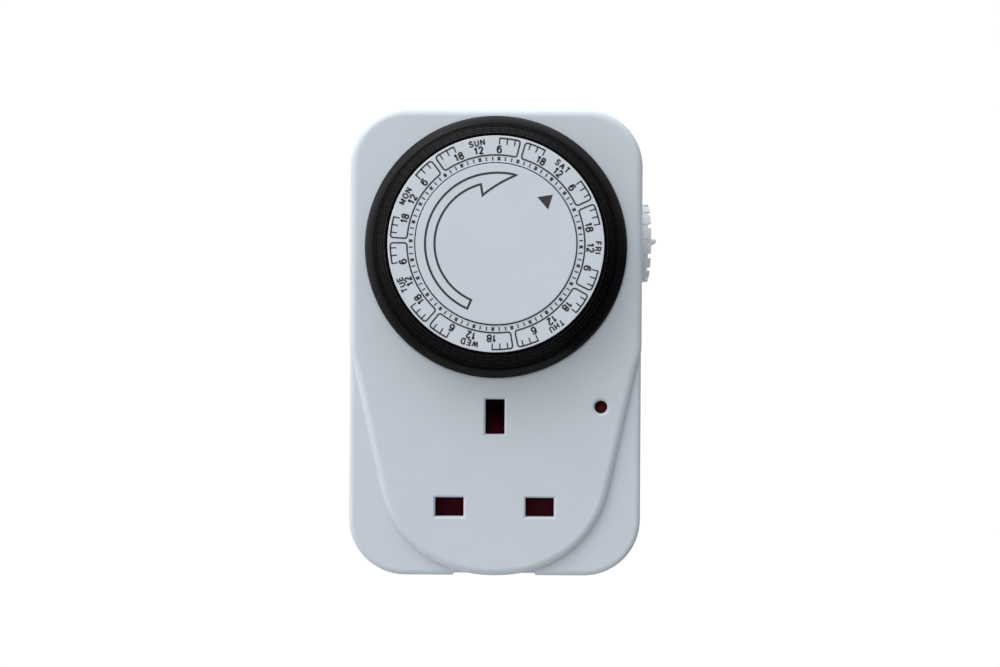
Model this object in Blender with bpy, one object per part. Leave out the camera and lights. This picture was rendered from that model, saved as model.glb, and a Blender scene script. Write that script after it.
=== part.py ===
"""Plug-in programmable timer: a seven-day segment timer for a heating or hot-water circuit.

Frame: +Z up, -Y towards the user, +Y into the wall socket. The origin is the middle of the rear face.
All sizes are in millimetres and become metres in one place, mesh_object(). A height h is measured
forwards from the front panel, where h is 0. Angles on the dial run clockwise from the top, as the
user sees it.
"""

import math

import bmesh
import bpy
from mathutils import Vector

MM = 0.001

# Case
HALF_W = 36.1
HALF_H = 57.6
DEPTH = 38.0
SHOULDER_Y = -35.8
SEAM_Y = -12.0
CORNER_R = 14.0
EDGE_R = 1.3
PANEL_R = 2.0
WALL = 2.2
PANEL = 2.2
LIP = 1.05
FIT = 0.15
BOSS_X, BOSS_Z = 28.0, 49.0
PILLARS = ((-21.6, 48.9), (21.6, 48.9), (-23.6, -0.3), (23.6, -0.3))

# Raised panel: full width above SLANT_TOP, then a slant, then a curve down to the bottom edge
SLANT_TOP = (34.7, -6.9)
SLANT_END = (28.2, -36.0)
CURVE_A = (25.2, -49.7)
CURVE_B = (14.0, -57.3)
PANEL_BOTTOM = 57.3

# Socket and plug, on the 13 A pattern: live pins 22.23 mm apart, earth pin 22.23 mm above them
PIN_X = 11.115
LIVE_Z = -40.4
EARTH_Z = -18.17
LIVE_SLOT = (7.0, 4.7)
EARTH_SLOT = (4.7, 8.6)
SLOT_CHAMFER = 0.4
LIVE_PIN = (6.35, 4.0)
EARTH_PIN = (4.0, 8.0)
LIVE_PIN_LENGTH = 17.7
EARTH_PIN_LENGTH = 22.7
SLEEVE_END = 9.5

# Dial
DIAL_Z = 23.5
TAPPETS = 84
DAYS = 7
PITCH = 360 / TAPPETS
DAY = 360 / DAYS
MIDNIGHT = 14.6
POINTER = MIDNIGHT + 8 * PITCH
COVER_HOLE_R = 30.9
POST_R = 4.0
BLOCK_HALF = 1.79
STEM_HALF = 1.02
SLOT_HALF = 1.33

# Gears
MODULE = 0.8
ADDENDUM, DEDENDUM, BACKLASH = 0.56, 0.8, 0.24
RING_TEETH, WHEEL_1, WHEEL_2, PINION = 50, 20, 24, 8
PITCH_PLAY = 0.05
ANGLE_2 = 225.0

# Override and switch
KNOB_Y, KNOB_Z = -19.0, 25.9
KNOB_R = 10.1
LEVER_Y, LEVER_Z = -31.0, 31.0
CAM_R = 6.2
CAM_RISE = 1.05
NEON_X, NEON_Z = 26.0, -15.6


def clear_scene():
    for old in list(bpy.data.objects):
        bpy.data.objects.remove(old, do_unlink=True)


def material(name, colour, roughness, metallic=0.0, transmission=0.0):
    made = bpy.data.materials.new(name)
    made.use_nodes = True
    shader = made.node_tree.nodes["Principled BSDF"]
    shader.inputs["Base Color"].default_value = (*colour, 1.0)
    shader.inputs["Roughness"].default_value = roughness
    shader.inputs["Metallic"].default_value = metallic
    shader.inputs["Transmission Weight"].default_value = transmission
    made.diffuse_color = (*colour, 1.0)
    return made


def mesh_object(name, points, faces, mat=None, origin=(0, 0, 0), smooth=True):
    """One object from points in the shared frame in mm. Its own origin is at the given point."""
    centre = Vector(origin)
    mesh = bpy.data.meshes.new(name)
    mesh.from_pydata([(Vector(p) - centre) * MM for p in points], [], faces)
    work = bmesh.new()
    work.from_mesh(mesh)
    bmesh.ops.recalc_face_normals(work, faces=work.faces)
    work.to_mesh(mesh)
    work.free()
    if smooth:
        mesh.shade_smooth()
        mesh.set_sharp_from_angle(angle=math.radians(35))
    obj = bpy.data.objects.new(name, mesh)
    obj.location = centre * MM
    bpy.context.scene.collection.objects.link(obj)
    if mat:
        mesh.materials.append(mat)
    return obj


def helper(obj):
    obj.hide_render = True
    obj.display_type = "WIRE"
    return obj


def boolean(obj, operation, others):
    for other in others:
        modifier = obj.modifiers.new(operation.title(), "BOOLEAN")
        modifier.operation = operation
        modifier.solver = "EXACT"
        modifier.object = helper(other)
    return obj


def cut(obj, *cutters):
    return boolean(obj, "DIFFERENCE", cutters)


def fuse(obj, *others):
    return boolean(obj, "UNION", others)


def loft(name, rings, mat=None, origin=(0, 0, 0), loop=False):
    """Joins rings of equal length with quads. Open lofts are capped, loops join end to start."""
    count = len(rings[0])
    points = [p for ring in rings for p in ring]
    faces = []
    pairs = len(rings) if loop else len(rings) - 1
    for r in range(pairs):
        a = r * count
        b = (r + 1) % len(rings) * count
        for i in range(count):
            j = (i + 1) % count
            faces.append((a + i, a + j, b + j, b + i))
    if not loop:
        faces.append(tuple(range(count)))
        faces.append(tuple(range(len(points) - count, len(points))))
    return mesh_object(name, points, faces, mat, origin)


def at_y(outline, y):
    return [(x, y, z) for x, z in outline]


def prism_y(name, outline, y0, y1, mat=None, origin=(0, 0, 0)):
    return loft(name, [at_y(outline, y0), at_y(outline, y1)], mat, origin)


def prism_x(name, outline, x0, x1, mat=None, origin=(0, 0, 0)):
    """The outline's points are (y, z)."""
    return loft(name, [[(x, y, z) for y, z in outline] for x in (x0, x1)], mat, origin)


def prism_z(name, outline, z0, z1, mat=None, origin=(0, 0, 0)):
    """The outline's points are (x, y)."""
    return loft(name, [[(x, y, z) for x, y in outline] for z in (z0, z1)], mat, origin)


def rectangle(x0, x1, z0, z1):
    return [(x0, z0), (x1, z0), (x1, z1), (x0, z1)]


def box(name, x, y, z, mat=None, origin=(0, 0, 0)):
    return prism_y(name, rectangle(*x, *z), *y, mat, origin)


def centred(x, z, width, height, grow=0.0):
    half_w, half_h = width / 2 + grow, height / 2 + grow
    return rectangle(x - half_w, x + half_w, z - half_h, z + half_h)


def polar(radius, angle, centre=(0.0, 0.0)):
    """(x, z) at an angle clockwise from the top."""
    t = math.radians(angle)
    return centre[0] + radius * math.sin(t), centre[1] + radius * math.cos(t)


def lathe(name, profile, centre, axis="Y", steps=32, mat=None):
    """Turns (radius, along) points about an axis. A profile that starts and ends on the axis is capped
    by it, and any other is a closed ring."""
    points, rings = [], []
    for radius, along in profile:
        ring = []
        for i in range(steps if radius > 0 else 1):
            a, b = polar(radius, 360 * i / steps)
            ring.append(len(points))
            if axis == "Y":
                points.append((centre[0] + a, along, centre[2] + b))
            elif axis == "X":
                points.append((along, centre[1] + a, centre[2] + b))
            else:
                points.append((centre[0] + a, centre[1] + b, along))
        rings.append(ring)
    faces = []
    solid = profile[0][0] == 0
    for first, second in zip(rings, rings[1:] if solid else rings[1:] + rings[:1]):
        for i in range(steps):
            j = (i + 1) % steps
            if len(first) == 1:
                faces.append((first[0], second[i], second[j]))
            elif len(second) == 1:
                faces.append((first[i], first[j], second[0]))
            else:
                faces.append((first[i], first[j], second[j], second[i]))
    return mesh_object(name, points, faces, mat, centre)


def rod(name, radius, start, end, centre, axis="Y", steps=20, mat=None):
    return lathe(name, [(0, start), (radius, start), (radius, end), (0, end)], centre, axis, steps, mat)


def tube(name, path, radius, sides, mat):
    """A round wire along a path of points."""
    path = [Vector(p) for p in path]
    rings = []
    side = Vector((1, 0, 0))
    for i, here in enumerate(path):
        way = (path[min(i + 1, len(path) - 1)] - path[max(i - 1, 0)]).normalized()
        side = (side - way * side.dot(way)).normalized()
        up = way.cross(side)
        ring = []
        for k in range(sides):
            t = 2 * math.pi * k / sides
            ring.append(here + (side * math.cos(t) + up * math.sin(t)) * radius)
        rings.append(ring)
    return loft(name, rings, mat)


def offset(outline, distance):
    """Moves each side of a closed outline inwards."""
    moved = []
    area = sum(a[0] * b[1] - b[0] * a[1] for a, b in zip(outline, outline[1:] + outline[:1]))
    turn = 1 if area > 0 else -1
    for i, here in enumerate(outline):
        before, after = outline[i - 1], outline[(i + 1) % len(outline)]
        normals = []
        for a, b in ((before, here), (here, after)):
            dx, dz = b[0] - a[0], b[1] - a[1]
            length = math.hypot(dx, dz)
            normals.append((-dz / length * turn, dx / length * turn))
        (ax, az), (bx, bz) = normals
        scale = distance / (1 + ax * bx + az * bz)
        moved.append((here[0] + (ax + bx) * scale, here[1] + (az + bz) * scale))
    return moved


def case_outline(steps=5):
    """The case seen from the front, clockwise from the upper right corner."""
    outline = []
    for sx, sz, start in ((1, 1, 0), (1, -1, 90), (-1, -1, 180), (-1, 1, 270)):
        centre = (sx * (HALF_W - CORNER_R), sz * (HALF_H - CORNER_R))
        for i in range(steps + 1):
            outline.append(polar(CORNER_R, start + 90 * i / steps, centre))
    return outline


def panel_outline(steps=6):
    """The raised panel: the case's top, then slanting sides that curve into the bottom edge."""
    half_w, half_h = HALF_W - 0.15, HALF_H - 0.15
    right = []
    for i in range(6):
        right.append(polar(CORNER_R, 90 * i / 5, (half_w - CORNER_R, half_h - CORNER_R)))
    right += [(half_w, -1.5), (half_w - 0.3, -4.3), SLANT_TOP]
    for i in range(steps + 1):
        t = i / steps
        weights = ((1 - t) ** 3, 3 * t * (1 - t) ** 2, 3 * t * t * (1 - t), t**3)
        knots = (SLANT_END, CURVE_A, CURVE_B, (0.0, -PANEL_BOTTOM))
        right.append(tuple(sum(w * k[axis] for w, k in zip(weights, knots)) for axis in (0, 1)))
    left = [(-x, z) for x, z in reversed(right) if x > 0.01]
    return right + left


def rounded_front(outline, front, radius, steps=2):
    """Rings that round an outline over into its front face."""
    rings = []
    for i in range(steps + 1):
        t = math.pi / 2 * i / steps
        rings.append(at_y(offset(outline, radius * (1 - math.cos(t))), front + radius * (1 - math.sin(t))))
    return rings


def screw_positions():
    return [(sx * BOSS_X, sz * BOSS_Z) for sx, sz in ((-1, 1), (1, 1), (-1, -1), (1, -1))]


def build_case(white):
    outline = case_outline()
    panel = panel_outline()

    # Rear housing: a shallow tray with a locating lip at the seam
    tray = loft(
        "rear_housing",
        [
            at_y(offset(outline, EDGE_R), 0),
            at_y(offset(outline, EDGE_R * 0.3), -EDGE_R * 0.3),
            at_y(outline, -EDGE_R),
            at_y(outline, SEAM_Y),
            at_y(offset(outline, LIP + FIT), SEAM_Y),
            at_y(offset(outline, LIP + FIT), SEAM_Y - 1.5),
            at_y(offset(outline, WALL), SEAM_Y - 1.5),
            at_y(offset(outline, WALL), -2.5),
        ],
        white,
    )
    for x, z in screw_positions():
        fuse(tray, rod("rear_boss", 4.2, -2.3, SEAM_Y + 0.1, (x, 0, z), steps=14))
    fuse(tray, box("switch_post", (14.6, 19.8), (-16.2, -2.3), (41.2, 46.8)))
    for x, z in screw_positions():
        steps = [(0, 0.5), (3.1, 0.5), (3.1, -6.0), (1.7, -6.0), (1.7, SEAM_Y - 1), (0, SEAM_Y - 1)]
        cut(tray, lathe("rear_counterbore", steps, (x, 0, z), steps=12))
    for x in (PIN_X, -PIN_X):
        cut(tray, prism_y("pin_window", centred(x, LIVE_Z, *LIVE_PIN, 0.1), -3, 1))
    cut(tray, prism_y("earth_window", centred(0, EARTH_Z, *EARTH_PIN, 0.1), -3, 1))

    # Front cover: the lower shoulders and the raised panel, hollowed from behind
    back = SEAM_Y - FIT
    shoulder = [at_y(offset(outline, 0), back)] + rounded_front(outline, SHOULDER_Y, EDGE_R)
    cover = loft("front_cover", shoulder, white)
    raised = loft("raised_panel", [at_y(panel, back - 2)] + rounded_front(panel, -DEPTH, PANEL_R))
    fuse(cover, raised)
    cut(cover, prism_y("cover_room", offset(outline, WALL), back + 1, SHOULDER_Y + PANEL))
    panel_room = offset(panel, WALL + 0.1)
    cut(cover, prism_y("panel_room", panel_room, SHOULDER_Y + PANEL + 3, -DEPTH + PANEL))
    for x, z in screw_positions():
        front = -DEPTH + 0.8 if z > 0 else SHOULDER_Y + 0.8
        fuse(cover, rod("front_boss", 4.2, back - 0.1, front, (x, 0, z), steps=14))
    for x, z in screw_positions():
        cut(cover, rod("screw_pilot", 1.55, back + 1, -26, (x, 0, z), steps=10))
    lip_outer = offset(outline, LIP)
    lip_inner = offset(outline, WALL + 0.3)
    ends = (back + 1, SEAM_Y - 1.8)
    rings = [at_y(lip_outer, ends[0]), at_y(lip_outer, ends[1]), at_y(lip_inner, ends[1]), at_y(lip_inner, ends[0])]
    cut(cover, loft("lip_rebate", rings, loop=True))
    fuse(cover, lathe("neon_collar", [(3.0, -30.5), (3.0, -36.6), (2.35, -36.6), (2.35, -30.5)],
                      (NEON_X, 0, NEON_Z), steps=16))
    cut(cover, rod("dial_opening", COVER_HOLE_R, -30, -DEPTH - 1, (0, 0, DIAL_Z), steps=64))
    cut(cover, rod("neon_hole", 1.55, -30, -DEPTH - 1, (NEON_X, 0, NEON_Z), steps=20))
    cut(cover, rod("knob_hole", 4.3, 30, 40, (0, KNOB_Y, KNOB_Z), "X", 24))
    slots = [(PIN_X, LIVE_Z, *LIVE_SLOT), (-PIN_X, LIVE_Z, *LIVE_SLOT), (0, EARTH_Z, *EARTH_SLOT)]
    for slot in slots:
        lip = [at_y(centred(*slot, SLOT_CHAMFER + 0.1), -DEPTH - 0.1)]
        lip.append(at_y(centred(*slot), -DEPTH + SLOT_CHAMFER))
        lip.append(at_y(centred(*slot), -DEPTH + PANEL + 1))
        cut(cover, loft("slot_cutter", lip))
    return cover, tray


def build_pins(brass, steel, black):
    def section(x, z, size, grow=0.0):
        return centred(x, z, *size, grow)

    for name, x in (("line_pin", PIN_X), ("neutral_pin", -PIN_X)):
        loft(
            name,
            [
                at_y(section(x, LIVE_Z, (9.0, 6.6)), -5.6),
                at_y(section(x, LIVE_Z, (9.0, 6.6)), -2.65),
                at_y(section(x, LIVE_Z, LIVE_PIN, -0.05), -2.65),
                at_y(section(x, LIVE_Z, LIVE_PIN, -0.05), 0.05),
                at_y(section(x, LIVE_Z, LIVE_PIN, -0.6), 0.05),
                at_y(section(x, LIVE_Z, LIVE_PIN, -0.6), SLEEVE_END + 0.1),
                at_y(section(x, LIVE_Z, LIVE_PIN), SLEEVE_END + 0.1),
                at_y(section(x, LIVE_Z, LIVE_PIN), LIVE_PIN_LENGTH - 0.8),
                at_y(section(x, LIVE_Z, LIVE_PIN, -0.7), LIVE_PIN_LENGTH),
            ],
            brass,
        )
        outer = section(x, LIVE_Z, LIVE_PIN)
        inner = section(x, LIVE_Z, LIVE_PIN, -0.45)
        rings = [at_y(outer, 0.15), at_y(outer, SLEEVE_END), at_y(inner, SLEEVE_END), at_y(inner, 0.15)]
        loft(name + "_sleeve", rings, black, loop=True)
    loft(
        "earth_pin",
        [
            at_y(section(0, EARTH_Z, (6.6, 10.6)), -5.6),
            at_y(section(0, EARTH_Z, (6.6, 10.6)), -2.65),
            at_y(section(0, EARTH_Z, EARTH_PIN), -2.65),
            at_y(section(0, EARTH_Z, EARTH_PIN), EARTH_PIN_LENGTH - 1.2),
            at_y(section(0, EARTH_Z, EARTH_PIN, -0.9), EARTH_PIN_LENGTH),
        ],
        brass,
    )
    for i, (x, z) in enumerate(screw_positions(), 1):
        profile = [(0, -4.2), (2.8, -4.2), (2.8, -5.85), (1.4, -5.85), (1.4, -24.0), (0, -24.8)]
        screw = lathe(f"housing_screw_{i}", profile, (x, 0, z), steps=12, mat=steel)
        cut(screw, box("screw_slot", (x - 3, x + 3), (-4.9, -4.0), (z - 0.4, z + 0.4)))


def build_socket(black, brass, copper, red, steel):
    # The carrier's pockets go right through it, and its base closes them behind the contacts
    joint = -11.2
    carrier = box("contact_carrier", (-19, 19), (-31.2, joint), (-49, -12.5), black)
    base = box("carrier_base", (-19, 19), (joint + 0.02, -9), (-49, -12.5), black)
    for x in (-16.5, 16.5):
        for z in (-46, -15.5):
            fuse(base, box("carrier_foot", (x - 2, x + 2), (-9.2, -2.7), (z - 2, z + 2)))
    for x in (PIN_X, -PIN_X):
        cut(carrier, prism_y("live_pocket", centred(x, LIVE_Z, 6.9, 6.3), -31.4, joint + 0.2))
        cut(base, prism_y("live_tail_slot", centred(x, LIVE_Z, 6.9, 1.5), joint - 0.2, -8.8))
    cut(carrier, prism_y("earth_pocket", centred(0, EARTH_Z, 6.3, 8.5), -31.4, joint + 0.2))
    cut(base, prism_y("earth_tail_slot", centred(0, EARTH_Z, 1.5, 8.5), joint - 0.2, -8.8))
    cut(carrier, box("ramp_room", (-2.4, 2.4), (-31.6, -26.3), (-28.5, -20)))
    cut(carrier, box("spring_room", (-2.8, 2.8), (-31.5, -29.9), (-49.5, -36.4)))

    def contact(tail):
        half, inner = 2.75, 2.15
        return [
            (-11.4, -half), (-29.8, -half), (-29.8, -inner), (-12.2, -inner),
            (-12.2, inner), (-29.8, inner), (-29.8, half), (-11.4, half),
            (-11.4, 0.45), (tail, 0.45), (tail, -0.45), (-11.4, -0.45),
        ]

    for name, x, tail in (("line_contact", PIN_X, -9.05), ("neutral_contact", -PIN_X, -8.6)):
        prism_x(name, [(y, LIVE_Z + z) for y, z in contact(tail)], x - 3.2, x + 3.2, brass)
    leaves = [(x, y) for y, x in contact(-6.4)]
    earth = prism_z("earth_contact", leaves, EARTH_Z - 4.0, EARTH_Z + 4.0, brass)
    fuse(earth, box("earth_strap", (-2.5, 2.5), (-6.6, -5.8), (EARTH_Z - 4.5, EARTH_Z + 4.5)))

    # The shutter closes both live slots, and the ramp in the earth slot drives it down
    plate = (-33.3, -31.8)
    pad = PIN_X + 3.9
    shutter = box("shutter", (-pad, pad), plate, (-43.0, -37.8), red)
    fuse(shutter, box("shutter_stem", (-2.6, 2.6), plate, (-38.2, -21.5)))
    ramp = [(-34.5, -22.45), (-33.7, -22.45), (-33.7, -23.4), (-31.9, -23.4), (-27.2, -22.45), (-27.2, -17.4)]
    fuse(shutter, prism_x("shutter_ramp", ramp, -1.95, 1.95))
    fuse(shutter, box("spring_seat", (-2.4, 2.4), (-34.7, -30.5), (-43.3, -42.2)))
    coil = []
    turns, sides, low, high = 5, 8, -54.6, -43.8
    for i in range(turns * sides + 1):
        a, b = polar(1.8, 360 * i / sides)
        coil.append((a, -32.6 + b, low + (high - low) * i / (turns * sides)))
    tube("shutter_spring", coil, 0.25, 4, steel)

    # Straps behind the carrier
    neutral = box("neutral_strap", (-15, -7.2), (-6.6, -5.8), (-42.6, -32.0), brass)
    fuse(neutral, box("neutral_tab", (-PIN_X - 1.5, -PIN_X + 1.5), (-8.4, -6.4), (LIVE_Z - 0.6, LIVE_Z + 0.6)))
    line = [(7.6, -42.4), (25.0, -42.4), (25.0, 38.2), (15.6, 38.2), (15.6, 35.6), (22.2, 35.6),
            (22.2, -38.6), (7.6, -38.6)]
    line = prism_y("line_strap", line, -6.6, -5.8, copper)
    fuse(line, box("line_tab", (16.0, 18.4), (-16.2, -6.4), (36.3, 37.5)))
    switched = [(9.0, -42.2), (30.0, -42.2), (30.0, 42.0), (23.4, 42.0), (23.4, 52.4), (15.6, 52.4),
                (15.6, 49.8), (21.0, 49.8), (21.0, 39.6), (27.2, 39.6), (27.2, -39.4), (9.0, -39.4)]
    switched = prism_y("switched_strap", switched, -8.8, -8.0, copper)
    fuse(switched, box("switched_tab", (16.0, 18.4), (-16.2, -8.2), (50.5, 51.7)))


def build_switch(black, steel, white, ivory):
    body = box("microswitch_body", (14.0, 20.4), (-25.7, -16.4), (34.0, 54.0), black)
    cut(body, rod("plunger_bore", 1.3, -28, -22.5, (17.2, 0, 39), steps=16))
    profile = [(0, -27.4), (0.8, -27.4), (1.1, -27.1), (1.1, -24.4), (0, -24.4)]
    lathe("microswitch_plunger", profile, (17.2, -27.4, 39), steps=16, mat=ivory)

    # Lever: a hub on the pin, an upper blade with the nose that feels the tappet stems, a pad on the
    # plunger, and a lower arm that the override cam pushes
    pivot = (24.0, LEVER_Y, LEVER_Z)
    hub = [(2.0, 20.5), (2.0, 28.2), (0.95, 28.2), (0.95, 20.5)]
    lever = lathe("switch_lever", hub, pivot, "X", 20, ivory)
    blade = [(-32.4, 32.2), (-29.6, 32.2), (-28.2, 37.0), (-28.2, 42.2), (-33.0, 42.2), (-33.0, 36.0)]
    fuse(lever, prism_x("lever_blade", blade, 20.6, 21.9))
    fuse(lever, box("lever_pad", (15.8, 21.2), (-29.4, -27.7), (37.6, 40.4)))
    arm = [(-29.6, 29.6), (-25.5, 27.9), (-25.5, 23.9), (-26.9, 23.9), (-27.4, 27.0), (-31.4, 29.4)]
    fuse(lever, prism_x("lever_arm", arm, 24.4, 28.1))
    nose_x, nose_z = polar(27.85, POINTER, (0, DIAL_Z))
    nose = []
    for along, across in ((-0.6, -0.35), (0.6, -0.35), (0.6, 0.35), (-0.6, 0.35)):
        x, z = polar(along, POINTER, (nose_x, nose_z))
        dx, dz = polar(across, POINTER + 90)
        nose.append((x + dx, z + dz))
    fuse(lever, prism_y("lever_nose", nose, -35.2, -32.8))
    rod("lever_pin", 0.8, 18.6, 30.6, pivot, "X", 16, steel)

    # Override knob on the right side, with the cam clipped on its shaft inside
    outline = []
    teeth = 16
    for i in range(teeth):
        for angle, radius in ((-6.5, KNOB_R), (-3.5, KNOB_R - 0.6), (3.5, KNOB_R - 0.6), (6.5, KNOB_R)):
            outline.append(polar(radius, 360 / teeth * i + angle, (KNOB_Y, KNOB_Z)))
    centre = (36.6, KNOB_Y, KNOB_Z)
    knob = prism_x("override_knob", outline, 36.6, 39.1, white, centre)
    grip = [(38.0, -1.6), (39.0, -1.4), (40.5, -0.5), (40.5, 0.5), (39.0, 1.4), (38.0, 1.6)]
    rings = [[(x, KNOB_Y + side, KNOB_Z + z) for x, z in grip] for side in (-9.0, 9.0)]
    fuse(knob, loft("knob_grip", rings))
    shaft = [(0, 37.0), (4.0, 37.0), (4.0, 33.6), (2.5, 33.6), (2.5, 23.4), (0, 23.4)]
    fuse(knob, lathe("knob_shaft", shaft, centre, "X", 24))

    lobe = []
    for i in range(36):
        angle = 10.0 * i
        if 90 <= angle <= 180:
            rise = (180 - angle) / 90
        elif 60 < angle < 90:
            rise = 1.0
        elif angle <= 60:
            rise = angle / 60
        else:
            rise = 0.0
        radius = CAM_R + CAM_RISE * rise
        t = math.radians(angle)
        lobe.append((KNOB_Y + radius * math.cos(t), KNOB_Z + radius * math.sin(t)))
    cam = prism_x("override_cam", lobe, 24.6, 28.5, black, (26.5, KNOB_Y, KNOB_Z))
    fuse(cam, rod("cam_hub", 5.4, 28.3, 33.4, centre, "X", 24))
    cut(cam, rod("cam_bore", 2.65, 24, 34, centre, "X", 24))


def gear_outline(teeth, centre, tooth_at, internal=False):
    """Trapezium teeth on the pitch circle, one of them centred on the angle tooth_at."""
    pitch_r = teeth * MODULE / 2
    sign = -1 if internal else 1
    thick = math.pi * MODULE / 2 - BACKLASH
    slope = math.tan(math.radians(20))
    tip = pitch_r + sign * ADDENDUM
    root = pitch_r - sign * DEDENDUM
    tip_half = math.degrees((thick / 2 - ADDENDUM * slope) / tip)
    root_half = math.degrees((thick / 2 + DEDENDUM * slope) / root)
    outline = []
    for i in range(teeth):
        middle = tooth_at + 360 * i / teeth
        for radius, angle in ((root, -root_half), (tip, -tip_half), (tip, tip_half), (root, root_half)):
            outline.append(polar(radius, middle + angle, centre))
    return outline


def direction(start, end):
    return math.degrees(math.atan2(end[0] - start[0], end[1] - start[1]))


def meeting(first, first_r, second, second_r, side):
    """The point at two given distances from two centres, on one side of the line between them."""
    dx, dz = second[0] - first[0], second[1] - first[1]
    span = math.hypot(dx, dz)
    along = (first_r**2 - second_r**2 + span**2) / (2 * span)
    across = side * math.sqrt(first_r**2 - along**2)
    return (first[0] + (along * dx - across * dz) / span, first[1] + (along * dz + across * dx) / span)


def gear_centres():
    dial = (0.0, DIAL_Z)
    mesh_2 = (RING_TEETH - PINION) * MODULE / 2 - PITCH_PLAY
    mesh_1 = (WHEEL_2 + PINION) * MODULE / 2 + PITCH_PLAY
    mesh_motor = (WHEEL_1 + PINION) * MODULE / 2 + PITCH_PLAY
    second = polar(mesh_2, ANGLE_2, dial)
    first = meeting(second, mesh_1, dial, 13.0, 1)
    motor = meeting(first, mesh_motor, dial, 11.15, 1)
    return first, second, motor


def build_movement(steel, brass, white, black):
    dial = (0.0, DIAL_Z)
    first, second, motor = gear_centres()
    plate = [(-24.5, 6.0), (-20.0, 1.0), (18.6, 1.0), (18.6, 47.0), (-20.0, 47.0), (-24.5, 42.0)]
    plate = prism_y("movement_plate", plate, -32.0, -30.5, steel)
    for x, z in PILLARS:
        inward = -1 if x > 0 else 1
        sides = sorted((x - 1.9 * inward, x + 8.0 * inward))
        fuse(plate, box("plate_ear", sides, (-31.9, -30.6), (z - 2.4, z + 2.4)))
        fuse(plate, rod("plate_pillar", 1.8, -35.65, -31.0, (x, 0, z), steps=10))
    fuse(plate, box("lever_bracket", (18.2, 31.4), (-31.8, -30.4), (22.6, 26.6)))
    fuse(plate, box("outer_lug", (29.0, 31.2), (-32.6, -29.4), (22.8, 33.4)))
    fuse(plate, box("inner_lug", (17.6, 19.9), (-32.6, -29.4), (22.8, 33.4)))
    cut(plate, rod("pin_hole", 0.92, 18.2, 30.9, (0, LEVER_Y, LEVER_Z), "X", 16))
    post = [(POST_R, -31.5), (POST_R, -49.3), (1.3, -49.3), (1.3, -31.5)]
    fuse(plate, lathe("centre_post", post, (0, 0, DIAL_Z), steps=24))
    cut(plate, rod("post_bore", 1.3, -30, -33, (0, 0, DIAL_Z), steps=24))
    fuse(plate, rod("arbor_1", 0.7, -31.5, -37.1, (first[0], 0, first[1]), steps=12))
    fuse(plate, rod("arbor_2", 0.7, -31.5, -42.6, (second[0], 0, second[1]), steps=12))
    cut(plate, rod("shaft_hole", 1.6, -30, -33, (motor[0], 0, motor[1]), steps=16))

    can = (motor[0], 0, motor[1] - 11.3)
    profile = [(0, -28.5), (17.6, -28.5), (18.2, -27.9), (18.2, -12.6), (17.6, -12.0), (0, -12.0)]
    lathe("motor_can", profile, can, steps=36, mat=steel)
    front = rod("motor_front_plate", 18.6, -28.75, -30.2, can, steps=36, mat=brass)
    cut(front, rod("front_plate_hole", 1.6, -28, -31, (motor[0], 0, motor[1]), steps=16))

    def gear(name, centre, parts, bore, mat):
        """Stacked toothed parts: (teeth, tooth angle, y0, y1), joined on one axis."""
        origin = (centre[0], parts[0][2], centre[1])
        wheels = [
            prism_y(f"{name}_{i}" if i else name, gear_outline(teeth, centre, at), y0, y1, mat, origin)
            for i, (teeth, at, y0, y1) in enumerate(parts)
        ]
        fuse(wheels[0], *wheels[1:])
        if bore:
            cut(wheels[0], rod(name + "_bore", bore, -50, -28, origin, steps=12))
        return wheels[0]

    half = 180 / PINION
    at_2 = direction(dial, second)
    at_21 = direction(second, first)
    at_1m = direction(first, motor)
    gear("gear_wheel_2", second, [(WHEEL_2, at_21, -34.2, -32.8), (PINION, at_2, -42.0, -34.1)], 0.85, white)
    gear("gear_wheel_1", first, [(WHEEL_1, at_1m, -36.6, -35.2), (PINION, at_21 + 180 + half, -35.3, -32.6)],
         0.85, white)
    pinion = gear("motor_pinion", motor, [(PINION, at_1m + 180 + half, -36.9, -34.9)], 0, brass)
    fuse(pinion, rod("motor_shaft", 0.9, -35.0, -28.9, (motor[0], 0, motor[1]), steps=12))

    ring = gear_outline(RING_TEETH, dial, at_2 + 180 / RING_TEETH, internal=True)
    outer = [polar(24.05, at_2 + (i + 0.5) * 360 / RING_TEETH, dial) for i in range(RING_TEETH)]
    points = at_y(ring, -42.0) + at_y(ring, -38.5) + at_y(outer, -42.0) + at_y(outer, -38.5)
    teeth, rim = len(ring), len(outer)
    faces = []
    for i in range(teeth):
        j = (i + 1) % teeth
        faces.append((i, j, teeth + j, teeth + i))
    for i in range(rim):
        j = (i + 1) % rim
        first = 2 * teeth
        faces.append((first + i, first + j, first + rim + j, first + rim + i))
        corners = [(4 * i + k) % teeth for k in range(5)]
        faces.append((*corners, first + j, first + i))
        faces.append((*[teeth + c for c in corners], first + rim + j, first + rim + i))
    mesh_object("dial_gear", points, faces, black, (0, -40, DIAL_Z))


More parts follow.
